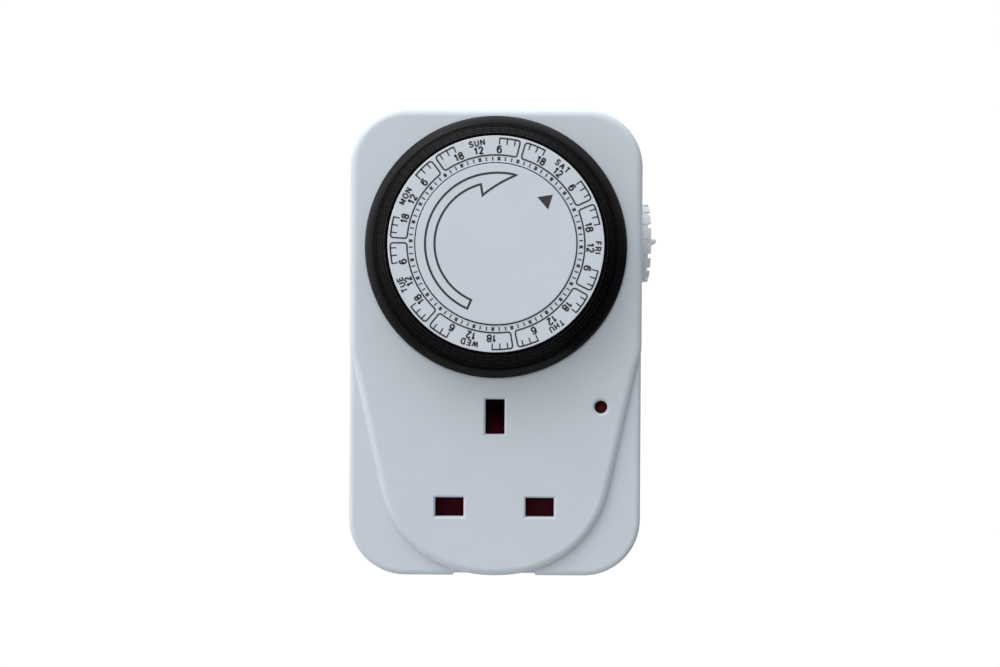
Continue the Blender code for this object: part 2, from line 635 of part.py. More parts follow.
def build_dial(black, white):
    face = -DEPTH

    # Carrier: hub, web, drum, slotted floor and skirt as one section, turned with a slot at each tappet
    section = [
        (4.15, 11.05), (4.15, 5.0), (6.0, 5.0), (6.0, 9.7), (24.25, 9.7), (24.25, -1.0),
        (27.2, -1.0), (28.7, -1.0), (30.6, -1.0), (30.6, 0.6), (32.1, 0.6), (32.1, 1.2),
        (29.9, 3.1), (29.9, 0.3), (28.7, 0.3), (27.2, 0.3), (25.6, 0.3), (25.6, 11.05),
    ]
    hub = 4
    slot_corners = [section.index(p) for p in ((27.2, -1.0), (28.7, -1.0), (28.7, 0.3), (27.2, 0.3))]
    points, faces, rings = [], [], []
    for n, (radius, h) in enumerate(section):
        if n in slot_corners:
            middles = [(i + 0.5) * PITCH for i in range(TAPPETS)]
            angles = [m + side for m in middles for side in (-SLOT_HALF, SLOT_HALF)]
        else:
            ring_steps = TAPPETS // (4 if n < hub else 2)
            angles = [360 * i / ring_steps for i in range(ring_steps)]
        rings.append(range(len(points), len(points) + len(angles)))
        for angle in angles:
            x, z = polar(radius, MIDNIGHT + angle, (0, DIAL_Z))
            points.append((x, face - h, z))
    for n in range(len(section)):
        first, second = rings[n], rings[(n + 1) % len(section)]
        if len(first) > len(second):
            first, second = second, first
        share = len(second) // len(first)
        slotted = n in slot_corners and (n + 1) in slot_corners
        for i in range(len(first)):
            j = (i + 1) % len(first)
            if slotted:
                if i % 2:
                    faces.append((first[i], first[j], second[j], second[i]))
            elif share == 1:
                faces.append((first[i], first[j], second[j], second[i]))
            elif len(second) == 2 * TAPPETS:
                # The fine ring's points lie inside each coarse step, so the joint has a triangle too
                near = [second[share * i + k] for k in range(share)]
                faces.append((first[i], *near, first[j]))
                faces.append((first[j], near[-1], second[(share * i + share) % len(second)]))
            else:
                near = [second[(share * i + k) % len(second)] for k in range(share + 1)]
                faces.append((first[i], *near, first[j]))
    lows, highs = slot_corners[:2], slot_corners[2:]
    for i in range(0, 2 * TAPPETS, 2):
        for low, high in ((lows[0], highs[1]), (lows[1], highs[0])):
            faces.append((rings[low][i], rings[low][i + 1], rings[high][i + 1], rings[high][i]))
        for side in (i, i + 1):
            faces.append(tuple(rings[n][side] for n in slot_corners))
    mesh_object("dial_carrier", points, faces, black, (0, -44, DIAL_Z))

    scale = [(19.3, face - 11.2), (25.68, face - 11.2), (25.68, face - 12.4), (19.3, face - 12.4)]
    lathe("dial_scale", scale, (0, -50, DIAL_Z), steps=60, mat=white)
    disc = [(0, face - 5.0), (1.2, face - 5.0), (1.2, face - 11.5), (19.0, face - 11.5),
            (19.0, face - 12.9), (0, face - 12.9)]
    lathe("centre_disc", disc, (0, -50, DIAL_Z), steps=48, mat=white)

    # Tappets: stepped blocks on stems that pass through the floor's slots
    block = [(26.1, 3.3), (29.6, 3.3), (29.6, 4.3), (28.4, 4.3), (26.7, 11.5), (26.1, 11.5)]
    stem = [(27.35, -2.0), (28.55, -2.0), (28.55, 3.5), (27.35, 3.5)]

    def sector(profile, middle, half, points, faces):
        base, size = len(points), len(profile)
        for side in (-half, half):
            for radius, h in profile:
                x, z = polar(radius, middle + side, (0, DIAL_Z))
                points.append((x, face - h, z))
        for i in range(size):
            j = (i + 1) % size
            faces.append((base + i, base + j, base + size + j, base + size + i))
        faces.append(tuple(range(base, base + size)))
        faces.append(tuple(range(base + size, base + 2 * size)))

    def tappet(name, ticks, start):
        middles = [start - (i + 0.5) * PITCH for i in ticks]
        x, z = polar(27.9, sum(middles) / len(middles), (0, DIAL_Z))
        shapes = []
        for profile, half in ((block, BLOCK_HALF), (stem, STEM_HALF)):
            points, faces = [], []
            for middle in middles:
                sector(profile, middle, half, points, faces)
            shapes.append(mesh_object(name, points, faces, black, (x, face - 7, z), smooth=False))
        shapes[0].name = name
        fuse(shapes[0], shapes[1])
        if len(middles) > 1:
            points, faces = [], []
            web = [(26.5, 3.45), (27.1, 3.45), (27.1, 3.95), (26.5, 3.95)]
            base = 0
            for i, middle in enumerate(middles):
                for radius, h in web:
                    px, pz = polar(radius, middle, (0, DIAL_Z))
                    points.append((px, face - h, pz))
                if i:
                    for k in range(4):
                        faces.append((base + k, base + (k + 1) % 4, base + 4 + (k + 1) % 4, base + 4 + k))
                    base += 4
            faces.append((0, 1, 2, 3))
            faces.append((base, base + 1, base + 2, base + 3))
            fuse(shapes[0], mesh_object("bank_web", points, faces, None, (x, face - 7, z)))

    saturday = MIDNIGHT + DAY
    for i in range(12):
        tappet(f"tappet_sat_{i + 1:02d}", [i], saturday)
    for d, day in enumerate(("sun", "mon", "tue", "wed", "thu", "fri"), 1):
        tappet(f"tappets_{day}", range(12), saturday - d * DAY)


def build_neon(red_lens, glass, ivory, wire):
    profile = [(0, -37.7), (0.9, -37.6), (1.4, -37.2), (1.4, -35.8), (0, -35.8)]
    lathe("neon_lens", profile, (NEON_X, 0, NEON_Z), steps=20, mat=red_lens)
    bulb = [(0, -35.5), (1.2, -35.2), (2.0, -34.2), (2.0, -26.6), (1.2, -26.0), (0, -26.0)]
    lathe("neon_lamp", bulb, (NEON_X, 0, NEON_Z), steps=16, mat=glass)
    body = [(0, -25.7), (0.35, -25.7), (0.35, -22.6), (1.2, -22.2), (1.2, -16.0), (0.35, -15.6),
            (0.35, -9.1), (0, -9.1)]
    lathe("neon_resistor", body, (28.6 - 2.0, 0, NEON_Z), steps=12, mat=ivory)


def build_leads(line_cover, neutral_cover):
    def curve(start, a, b, end, steps=10):
        path = []
        for i in range(steps + 1):
            t = i / steps
            weights = ((1 - t) ** 3, 3 * t * (1 - t) ** 2, 3 * t * t * (1 - t), t**3)
            path.append([sum(w * k[n] for w, k in zip(weights, (start, a, b, end))) for n in range(3)])
        return path

    path = curve((-14, -11.6, 8), (-14, -4.5, 8), (-21, -6, -10), (-22, -6.2, -20))
    path += curve((-22, -6.4, -24), (-22, -6.2, -34), (-21, -6.2, -36), (-15.3, -6.2, -36.5), 6)
    tube("motor_lead_neutral", path, 0.6, 6, neutral_cover)
    path = curve((2, -11.6, 8), (2, -3.5, 8), (12, -6.2, 2), (21.9, -6.2, 2), 10)
    tube("motor_lead_line", path, 0.6, 6, line_cover)


def main():
    clear_scene()
    white = material("white_plastic", (0.78, 0.80, 0.82), 0.42)
    black = material("black_plastic", (0.018, 0.018, 0.022), 0.35)
    ivory = material("ivory_plastic", (0.72, 0.68, 0.58), 0.5)
    red = material("red_plastic", (0.22, 0.012, 0.022), 0.45)
    brass = material("brass", (0.78, 0.58, 0.25), 0.3, 1.0)
    copper = material("copper_strip", (0.72, 0.36, 0.2), 0.35, 1.0)
    steel = material("zinc_steel", (0.62, 0.63, 0.65), 0.32, 1.0)
    glass = material("lamp_glass", (0.9, 0.88, 0.85), 0.05, 0.0, 0.9)
    lens = material("red_lens", (0.35, 0.01, 0.015), 0.12, 0.0, 0.4)
    brown = material("brown_insulation", (0.16, 0.07, 0.03), 0.5)
    blue = material("blue_insulation", (0.03, 0.12, 0.4), 0.5)
    build_case(white)
    build_pins(brass, steel, black)
    build_socket(black, brass, copper, red, steel)
    build_switch(black, steel, white, ivory)
    build_movement(steel, brass, white, black)
    build_dial(black, white)
    build_neon(lens, glass, ivory, steel)
    build_leads(brown, blue)


main()
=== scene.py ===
"""The looks of the programmable timer: detailed visible pieces, materials, print, light and camera.

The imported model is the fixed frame. Lengths are in millimetres and become metres in make(). Only
the camera and the key light are placed in metres. Angles on the dial run clockwise from the top, as
the user sees it. The front of the timer faces -Y, so a smaller y is nearer to the user.
"""
import math

import bmesh
import bpy
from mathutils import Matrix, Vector


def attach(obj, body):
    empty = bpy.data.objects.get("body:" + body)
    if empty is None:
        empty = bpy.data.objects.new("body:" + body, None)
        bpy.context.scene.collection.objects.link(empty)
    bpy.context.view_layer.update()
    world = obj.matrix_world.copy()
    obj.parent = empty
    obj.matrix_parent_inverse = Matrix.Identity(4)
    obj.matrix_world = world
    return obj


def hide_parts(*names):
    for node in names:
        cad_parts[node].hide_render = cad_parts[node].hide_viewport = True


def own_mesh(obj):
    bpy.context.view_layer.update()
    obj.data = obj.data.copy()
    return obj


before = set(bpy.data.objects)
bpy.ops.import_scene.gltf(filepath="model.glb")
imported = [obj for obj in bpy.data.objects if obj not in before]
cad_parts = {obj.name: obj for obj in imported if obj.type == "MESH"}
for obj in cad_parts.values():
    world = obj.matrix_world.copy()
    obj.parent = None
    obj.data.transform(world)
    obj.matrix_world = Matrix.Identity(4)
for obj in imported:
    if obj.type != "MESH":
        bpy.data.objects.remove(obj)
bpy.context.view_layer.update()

MM = 0.001
SHARP = 35.0  # an edge that turns by more degrees than this is shaded as sharp

# Case
HALF_W, HALF_H = 36.1, 57.6
FACE = -38.0
SHOULDER = -35.8
SEAM = -12.0
COVER_BACK = SEAM - 0.15
SEAM_CHAMFER = 0.18
CORNER_R = 14.0
CORNER_STEPS = 16
EDGE_R = 1.4
PANEL_R = 2.0
FILLET_R = 0.2
FILLET_TOP = -4.0
WALL = 2.2
INSIDE = -30.0  # the openings in the front are cut through to here
SWITCH_POST, SWITCH_POST_SIZE = (17.2, 44.0), (5.2, 5.6)
NOTCH_Z, NOTCH_SIZE = -58.3, (20.4, 2.9)
SCREW_PLACES = ((-28.0, 49.0), (28.0, 49.0), (-28.0, -49.0), (28.0, -49.0))

# Socket and plug
PIN_X = 11.115
LIVE_Z, EARTH_Z = -40.4, -18.17
LIVE_SLOT, EARTH_SLOT = (7.0, 4.7), (4.7, 8.6)
LIVE_PIN, EARTH_PIN = (6.35, 4.0), (4.0, 8.0)
PIN_COLLAR = (9.0, 6.6)
EARTH_COLLAR = (6.6, 10.6)
SLOT_LIP = 0.62
RECESS_Z, RECESS_SIZE = -31.0, (37.0, 38.0)

# Dial
DIAL_Z = 23.5
OPENING_R, OPENING_MOUTH = 30.9, 31.15
TAPPETS = 84
BANK = 12
PITCH = 360 / TAPPETS
DAY = 360 / 7
MIDNIGHT = 14.6
POINTER = MIDNIGHT + 8 * PITCH
SCALE_HEIGHT, DISC_HEIGHT = 12.4, 12.9
TAPPET_SHARP = 50.0
SLOT_HALF = 1.33
DAYS = ("SAT", "SUN", "MON", "TUE", "WED", "THU", "FRI")

# Print: the radii of a day's outline, and the arrow's
DAY_RIM, DAY_FOOT = 25.0, 21.05
ARROW_OUTER, ARROW_INNER = 16.75, 14.5
PRINT_THICK, PRINT_SUNK = 0.03, 0.01
PRINT_SHARP = 30.0
TURN_BACK = -0.3  # a letter's stroke is split where the cosine of its turn is below this

# Override and lamp
KNOB_Y, KNOB_Z = -19.0, 25.9
KNOB_R, KNOB_TEETH = 10.1, 16
NEON_X, NEON_Z = 26.0, -15.6

# Shutter
SPRING_Y = -32.6

# Room: its grey runs between two levels along a direction, and it turns white towards +Y
BRIGHT_SIDE, GREY_SPAN, GREYS = (-0.52, 0.0, 0.855), (-0.55, 1.0), (0.067, 1.92)
WHITE_SPAN, ROOM_WHITE = (0.74, 0.91), (1.02, 1.02, 1.02)
BACKDROP_GREY = (0.80, 0.80, 0.80)
FLOOR_HALF, FLOOR_Z = 700, -900

# Camera and key light, in metres
CAMERA_PLACE, CAMERA_TILT = (0.0011, -0.379, 0.0023), -0.35
LENS_MM, SENSOR_MM = 50.0, 36.0
KEY_PLACE, KEY_AIM = (-0.55, -0.60, 1.10), (0, -0.04, 0)
KEY_SIZE, KEY_POWER = 0.8, 3.7


# ---------------------------------------------------------------- materials

def mix_colours(tree, factor, first, second):
    """A mix of two colours, each a tuple or a socket."""
    mixer = tree.nodes.new("ShaderNodeMix")
    mixer.data_type = "RGBA"
    tree.links.new(factor, mixer.inputs["Factor"])
    colour_a, colour_b, colour_out = mixer.inputs[6], mixer.inputs[7], mixer.outputs[2]
    for socket, value in ((colour_a, first), (colour_b, second)):
        if isinstance(value, tuple):
            socket.default_value = (*value, 1.0)
        else:
            tree.links.new(value, socket)
    return colour_out


class Nodes:
    """A short way to write a material's node tree."""

    def __init__(self, name):
        self.material = bpy.data.materials.new(name)
        self.material.use_nodes = True
        self.tree = self.material.node_tree
        self.shader = self.tree.nodes["Principled BSDF"]
        self.place = self.new("ShaderNodeTexCoord").outputs["Object"]

    def new(self, kind, **settings):
        node = self.tree.nodes.new(kind)
        for key, value in settings.items():
            setattr(node, key, value)
        return node

    def link(self, out, into):
        self.tree.links.new(out, into)

    def noise(self, size_mm, detail=3.0, stretch=(1, 1, 1)):
        """Noise whose features are about size_mm across, from 0 to 1."""
        mapping = self.new("ShaderNodeMapping")
        mapping.inputs["Scale"].default_value = stretch
        self.link(self.place, mapping.inputs["Vector"])
        noise = self.new("ShaderNodeTexNoise")
        noise.inputs["Scale"].default_value = 1000.0 / size_mm
        noise.inputs["Detail"].default_value = detail
        self.link(mapping.outputs["Vector"], noise.inputs["Vector"])
        return noise.outputs["Fac"]

    def ramp(self, fac, stops):
        """A colour ramp through (position, colour) stops."""
        ramp = self.new("ShaderNodeValToRGB")
        elements = ramp.color_ramp.elements
        while len(elements) < len(stops):
            elements.new(0.5)
        for element, (position, colour) in zip(elements, stops):
            element.position = position
            element.color = (*colour, 1.0)
        self.link(fac, ramp.inputs["Fac"])
        return ramp.outputs["Color"]

    def fit(self, value, low, high):
        """Maps 0.3..0.7, where noise mostly lies, to low..high."""
        span = self.new("ShaderNodeMapRange")
        for key, number in (("From Min", 0.3), ("From Max", 0.7), ("To Min", low), ("To Max", high)):
            span.inputs[key].default_value = number
        self.link(value, span.inputs["Value"])
        return span.outputs["Result"]

    def bump(self, height, distance_mm, strength, before=None):
        bump = self.new("ShaderNodeBump")
        bump.inputs["Distance"].default_value = distance_mm * MM
        bump.inputs["Strength"].default_value = strength
        self.link(height, bump.inputs["Height"])
        if before:
            self.link(before, bump.inputs["Normal"])
        return bump.outputs["Normal"]

    def set(self, **inputs):
        for key, value in inputs.items():
            socket = self.shader.inputs[key.replace("_", " ")]
            if isinstance(value, bpy.types.NodeSocket):
                self.link(value, socket)
            else:
                socket.default_value = value


def plastic(name, colour, rough, grain_mm=0.35, grain=0.12, mottle=0.03, specks=0.0, sheen=0.5):
    """Moulded plastic: a fine spark-eroded grain, slow mottling, dust specks and handling marks."""
    made = Nodes(name)
    light = tuple(min(1.0, c * (1 + mottle)) for c in colour)
    dark = tuple(c * (1 - mottle) for c in colour)
    base = made.ramp(made.noise(size_mm=9.0, detail=4.0), ((0.32, dark), (0.68, light)))
    if specks:
        dots = made.new("ShaderNodeTexVoronoi", feature="F1")
        dots.inputs["Scale"].default_value = 260.0
        made.link(made.place, dots.inputs["Vector"])
        near = made.new("ShaderNodeMath", operation="LESS_THAN")
        near.inputs[1].default_value = specks
        made.link(dots.outputs["Distance"], near.inputs[0])
        base = mix_colours(made.tree, near.outputs[0], base, tuple(c * 0.55 for c in colour))
    fine = made.bump(made.noise(grain_mm, detail=2.0), distance_mm=0.02, strength=grain)
    wavy = made.bump(made.noise(size_mm=6.0, detail=2.0), distance_mm=0.05, strength=0.05, before=fine)
    smears = made.noise(size_mm=2.4, detail=5.0, stretch=(1.0, 1.0, 3.0))
    gloss = made.fit(smears, rough * 0.86, rough * 1.14)
    made.set(Base_Color=base, Roughness=gloss, Normal=wavy, Specular_IOR_Level=sheen)
    return made.material


def metal(name, colour, rough, stretch, scratches=0.25):
    """Drawn or rolled metal: fine lines along one direction, dull patches and a little tarnish."""
    made = Nodes(name)
    lines = made.noise(size_mm=0.25, detail=3.0, stretch=stretch)
    tarnish = made.noise(size_mm=4.0, detail=4.0)
    base = made.ramp(tarnish, ((0.3, tuple(c * 0.72 for c in colour)), (0.62, colour)))
    made.set(Base_Color=base, Metallic=1.0, Roughness=made.fit(lines, rough * 0.7, rough * 1.3))
    made.set(Normal=made.bump(lines, distance_mm=0.01, strength=scratches))
    return made.material


def glassy(name, colour, rough, transmission):
    """Clear glass with slight waves and an uneven gloss."""
    made = Nodes(name)
    depth = made.ramp(made.noise(size_mm=1.2), ((0.3, tuple(c * 0.7 for c in colour)), (0.7, colour)))
    made.set(Base_Color=depth, Roughness=made.fit(made.noise(size_mm=0.8), rough * 0.7, rough * 1.4))
    made.set(Transmission_Weight=transmission, IOR=1.49)
    made.set(Normal=made.bump(made.noise(size_mm=0.9, detail=2.0), distance_mm=0.02, strength=0.08))
    return made.material


# After its name and colour, a plastic gives its roughness, the size and strength of its grain, and
# the depth of its mottling
WHITE = plastic("case_plastic", (0.585, 0.645, 0.715), 0.42, 0.30, 0.10, mottle=0.012, specks=0.03)
REAR_WHITE = plastic("rear_plastic", (0.575, 0.635, 0.70), 0.46, 0.45, 0.22, mottle=0.015)
DIAL_WHITE = plastic("dial_face_plastic", (0.60, 0.66, 0.735), 0.38, 0.4, 0.05, mottle=0.012)
KNOB_WHITE = plastic("knob_plastic", (0.80, 0.83, 0.86), 0.42, 0.35, 0.15, mottle=0.02)
SKIRT_BLACK = plastic("skirt_plastic", (0.005, 0.0045, 0.006), 0.20, 0.5, 0.05, 0.12, sheen=0.115)
TAPPET_BLACK = plastic("tappet_plastic", (0.002, 0.002, 0.0023), 0.32, 0.25, 0.06, 0.15, sheen=0.055)
INNER_BLACK = plastic("inner_black_plastic", (0.008, 0.008, 0.009), 0.5, 0.35, 0.2, 0.1, sheen=0.25)
IVORY = plastic("ivory_plastic", (0.55, 0.50, 0.40), 0.5, grain=0.2)
GEAR_WHITE = plastic("acetal", (0.70, 0.70, 0.66), 0.32, grain=0.08, mottle=0.02)
RED = plastic("shutter_plastic", (0.056, 0.0045, 0.011), 0.45, grain=0.15, mottle=0.1, sheen=0.04)
INK = plastic("print_ink", (0.030, 0.026, 0.031), 0.5, grain_mm=0.15, grain=0.1, mottle=0.15)
BRASS = metal("brass", (0.78, 0.56, 0.25), 0.24, (1, 0.08, 1))
# The contacts' near-black colour is painted shade for where they sit deep inside the case
SHADED_CONTACT = metal("contact_painted_shade", (0.045, 0.032, 0.018), 0.5, (1, 1, 0.08), 0.15)
COPPER = metal("copper_strip", (0.70, 0.36, 0.22), 0.28, (1, 1, 0.08))
STEEL = metal("zinc_plate", (0.60, 0.61, 0.63), 0.30, (0.3, 1, 1))
LENS_RED = plastic("neon_lens_red", (0.030, 0.0012, 0.0018), 0.2, grain=0.03, mottle=0.2, sheen=0.09)
LAMP_GLASS = glassy("lamp_glass", (0.9, 0.88, 0.84), 0.04, 0.95)
BROWN = plastic("brown_insulation", (0.13, 0.05, 0.02), 0.45, grain=0.1, mottle=0.05)
BLUE = plastic("blue_insulation", (0.02, 0.09, 0.35), 0.45, grain=0.1, mottle=0.05)


# ---------------------------------------------------------------- mesh helpers

def make(name, points, faces, material, sharp=SHARP):
    """One object at the origin from points in mm."""
    mesh = bpy.data.meshes.new(name)
    mesh.from_pydata([Vector(p) * MM for p in points], [], faces)
    work = bmesh.new()
    work.from_mesh(mesh)
    bmesh.ops.recalc_face_normals(work, faces=work.faces)
    work.to_mesh(mesh)
    work.free()
    mesh.shade_smooth()
    mesh.set_sharp_from_angle(angle=math.radians(sharp))
    if material:
        mesh.materials.append(material)
    obj = bpy.data.objects.new(name, mesh)
    bpy.context.scene.collection.objects.link(obj)
    return obj


def skin(rows, count, first=0, loop=False):
    """Quads between rows of count points each, with a cap on each end unless the rows close up."""
    faces = []
    for r in range(rows if loop else rows - 1):
        a, b = first + r * count, first + (r + 1) % rows * count
        for i in range(count):
            j = (i + 1) % count
            faces.append((a + i, a + j, b + j, b + i))
    if not loop:
        last = first + (rows - 1) * count
        faces.append(tuple(range(first, first + count)))
        faces.append(tuple(range(last, last + count)))
    return faces


def loft(name, rings, material=None, loop=False):
    """A solid through rings with the same number of points."""
    points = [p for ring in rings for p in ring]
    return make(name, points, skin(len(rings), len(rings[0]), loop=loop), material)


def at_y(outline, y):
    return [(x, y, z) for x, z in outline]


def polar(radius, angle, centre=(0.0, 0.0)):
    """(x, z) at an angle clockwise from the top."""
    t = math.radians(angle)
    return centre[0] + radius * math.sin(t), centre[1] + radius * math.cos(t)


def on_dial(radius, angle):
    return polar(radius, angle, (0.0, DIAL_Z))


def above_face(radius, angle, height):
    """A point over the dial, at a height above the case's face."""
    x, z = on_dial(radius, angle)
    return x, FACE - height, z


def lathe(name, profile, centre, axis="Y", steps=96, material=None):
    """Turns (radius, along) points. A profile that starts on the axis ends on it; others close up."""
    points, rings = [], []
    for radius, along in profile:
        ring = []
        for i in range(steps if radius > 0 else 1):
            a, b = polar(radius, 360 * i / steps)
            ring.append(len(points))
            if axis == "Y":
                points.append((centre[0] + a, along, centre[2] + b))
            else:
                points.append((along, centre[1] + a, centre[2] + b))
        rings.append(ring)
    faces = []
    solid = profile[0][0] == 0
    for first, second in zip(rings, rings[1:] if solid else rings[1:] + rings[:1]):
        for i in range(steps):
            j = (i + 1) % steps
            if len(first) == 1:
                faces.append((first[0], second[i], second[j]))
            elif len(second) == 1:
                faces.append((first[i], first[j], second[0]))
            else:
                faces.append((first[i], first[j], second[j], second[i]))
    return make(name, points, faces, material)


def dial_lathe(name, profile, steps, material):
    """Turns (radius, height above the case's face) points about the dial's axis."""
    turned = [(radius, FACE - height) for radius, height in profile]
    return lathe(name, turned, (0, 0, DIAL_Z), steps=steps, material=material)


def offset(outline, distance):
    """Moves each side of a closed outline inwards."""
    area = sum(a[0] * b[1] - b[0] * a[1] for a, b in zip(outline, outline[1:] + outline[:1]))
    turn = 1 if area > 0 else -1
    moved = []
    for i, here in enumerate(outline):
        normals = []
        for a, b in ((outline[i - 1], here), (here, outline[(i + 1) % len(outline)])):
            dx, dz = b[0] - a[0], b[1] - a[1]
            length = math.hypot(dx, dz)
            normals.append((-dz / length * turn, dx / length * turn))
        (ax, az), (bx, bz) = normals
        scale = distance / (1 + ax * bx + az * bz)
        moved.append((here[0] + (ax + bx) * scale, here[1] + (az + bz) * scale))
    return moved


def bezier(knots, steps):
    """Points of a cubic curve, its first point left out."""
    points = []
    for i in range(1, steps + 1):
        t = i / steps
        weights = ((1 - t) ** 3, 3 * t * (1 - t) ** 2, 3 * t * t * (1 - t), t**3)
        points.append(tuple(sum(w * k[n] for w, k in zip(weights, knots)) for n in (0, 1)))
    return points


def rectangle(x, z, size, grow=0.0, corner=0.0, steps=3):
    """A rectangle about (x, z), with rounded corners if asked."""
    half_w, half_h = size[0] / 2 + grow, size[1] / 2 + grow
    if not corner:
        return [(x + sx * half_w, z + sz * half_h) for sx, sz in ((-1, -1), (1, -1), (1, 1), (-1, 1))]
    outline = []
    for sx, sz, start in ((1, 1, 0), (1, -1, 90), (-1, -1, 180), (-1, 1, 270)):
        centre = (x + sx * (half_w - corner), z + sz * (half_h - corner))
        outline += [polar(corner, start + 90 * i / steps, centre) for i in range(steps + 1)]
    return outline


def rounded_front(outline, front, radius, steps=6):
    """Rings that round an outline over into its front face."""
    rings = []
    for i in range(steps + 1):
        t = math.pi / 2 * i / steps
        inward, back = radius * (1 - math.cos(t)), radius * (1 - math.sin(t))
        rings.append(at_y(offset(outline, inward), front + back))
    rings.append(at_y(offset(outline, radius + 0.05), front))
    return rings


def boolean(obj, operation, *others):
    """Applies the Boolean at once, and removes the other objects."""
    for other in others:
        modifier = obj.modifiers.new("boolean", "BOOLEAN")
        modifier.operation = operation
        modifier.solver = "EXACT"
        modifier.object = other
    graph = bpy.context.evaluated_depsgraph_get()
    mesh = bpy.data.meshes.new_from_object(obj.evaluated_get(graph))
    obj.modifiers.clear()
    obj.data = mesh
    mesh.shade_smooth()
    mesh.set_sharp_from_angle(angle=math.radians(SHARP))
    for other in others:
        bpy.data.objects.remove(other, do_unlink=True)


def join(name, objects):
    """Joins meshes into the first object."""
    work = bmesh.new()
    for obj in objects:
        work.from_mesh(obj.data)
    first = objects[0]
    work.to_mesh(first.data)
    work.free()
    for obj in objects[1:]:
        bpy.data.objects.remove(obj, do_unlink=True)
    first.name = name
    return first


def put(obj, body, slot, *nodes):
    """Finishes a piece: it rides on a body and stands for CAD nodes. Its slot is not used."""
    # Large flat faces stay flat, and the shading turns only across the small faces of an edge
    modifier = obj.modifiers.new("flat_faces", "WEIGHTED_NORMAL")
    modifier.keep_sharp = True
    modifier.weight = 100
    graph = bpy.context.evaluated_depsgraph_get()
    obj.data = bpy.data.meshes.new_from_object(obj.evaluated_get(graph))
    obj.modifiers.clear()
    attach(obj, body)
    if nodes:
        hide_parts(*nodes)


# ---------------------------------------------------------------- case

def case_outline():
    return rectangle(0, 0, (2 * HALF_W, 2 * HALF_H), corner=CORNER_R, steps=CORNER_STEPS)


def panel_outline():
    """The raised panel: the case's top, slanting sides, and a curve down to the bottom edge."""
    half_w, half_h = HALF_W - 0.02, HALF_H - 0.02
    centre = (half_w - CORNER_R, half_h - CORNER_R)
    shoulder_top, slant_top = (half_w, -0.6), (34.7, -6.9)
    slant_end, bottom = (28.2, -36.0), (0.0, -57.4)
    right = [polar(CORNER_R, 90 * i / CORNER_STEPS, centre) for i in range(CORNER_STEPS + 1)]
    right.append(shoulder_top)
    right += bezier((shoulder_top, (half_w, -3.2), (35.18, -4.75), slant_top), 8)
    right += bezier((slant_top, (32.5, -16.6), (30.4, -26.3), slant_end), 4)
    right += bezier((slant_end, (25.2, -49.7), (14.0, -57.4), bottom), 24)
    left = [(-x, z) for x, z in reversed(right) if x > 0.01]
    return right + left


def notch_cutter():
    """The shoulder's bottom edge is set back a little below the panel."""
    outline = rectangle(0, NOTCH_Z, NOTCH_SIZE, corner=0.6)
    return loft("notch", [at_y(outline, y) for y in (COVER_BACK - 9, -40.0)])


def panel_fillet(outline, panel):
    """A soft fillet round the foot of the panel, where it meets the shoulders."""
    def lower_part(ring, y):
        return [(x, y, z) for (x, z), (_, pz) in zip(ring, panel) if pz < FILLET_TOP]

    steps = 6
    strip = []
    for i in range(steps + 1):
        t = math.pi / 2 * i / steps
        outward, up = FILLET_R * (1 - math.cos(t)), FILLET_R * (1 - math.sin(t))
        strip.append(lower_part(offset(panel, -outward), SHOULDER - up))
    inside, buried = offset(panel, 0.4), SHOULDER + 0.5
    strip.append(lower_part(offset(panel, -FILLET_R), buried))
    strip.append(lower_part(inside, buried))
    strip.append(lower_part(inside, SHOULDER - FILLET_R))
    fillet = loft("fillet", list(zip(*strip)))
    within = offset(outline, 0.04)
    clip = loft("clip", [at_y(within, COVER_BACK - 1.5), at_y(within, FACE - 2)])
    notch = notch_cutter()
    boolean(fillet, "INTERSECT", clip)
    boolean(fillet, "DIFFERENCE", notch)
    return fillet


def socket_slot(x, z, size):
    """The cutter of a slot, with a softened step sunk round its mouth."""
    rings = []
    for grow, corner, depth in (
        (SLOT_LIP, 0.2, -0.5), (SLOT_LIP, 0.2, -0.1), (SLOT_LIP - 0.1, 0.2, 0),
        (SLOT_LIP - 0.2, 0.2, 0.07), (0.04, 0.12, SLOT_LIP - 0.2), (0, 0.12, SLOT_LIP), (0, 0.12, 3.4),
    ):
        rings.append(at_y(rectangle(x, z, size, grow, corner), FACE + depth))
    return loft("slot", rings)


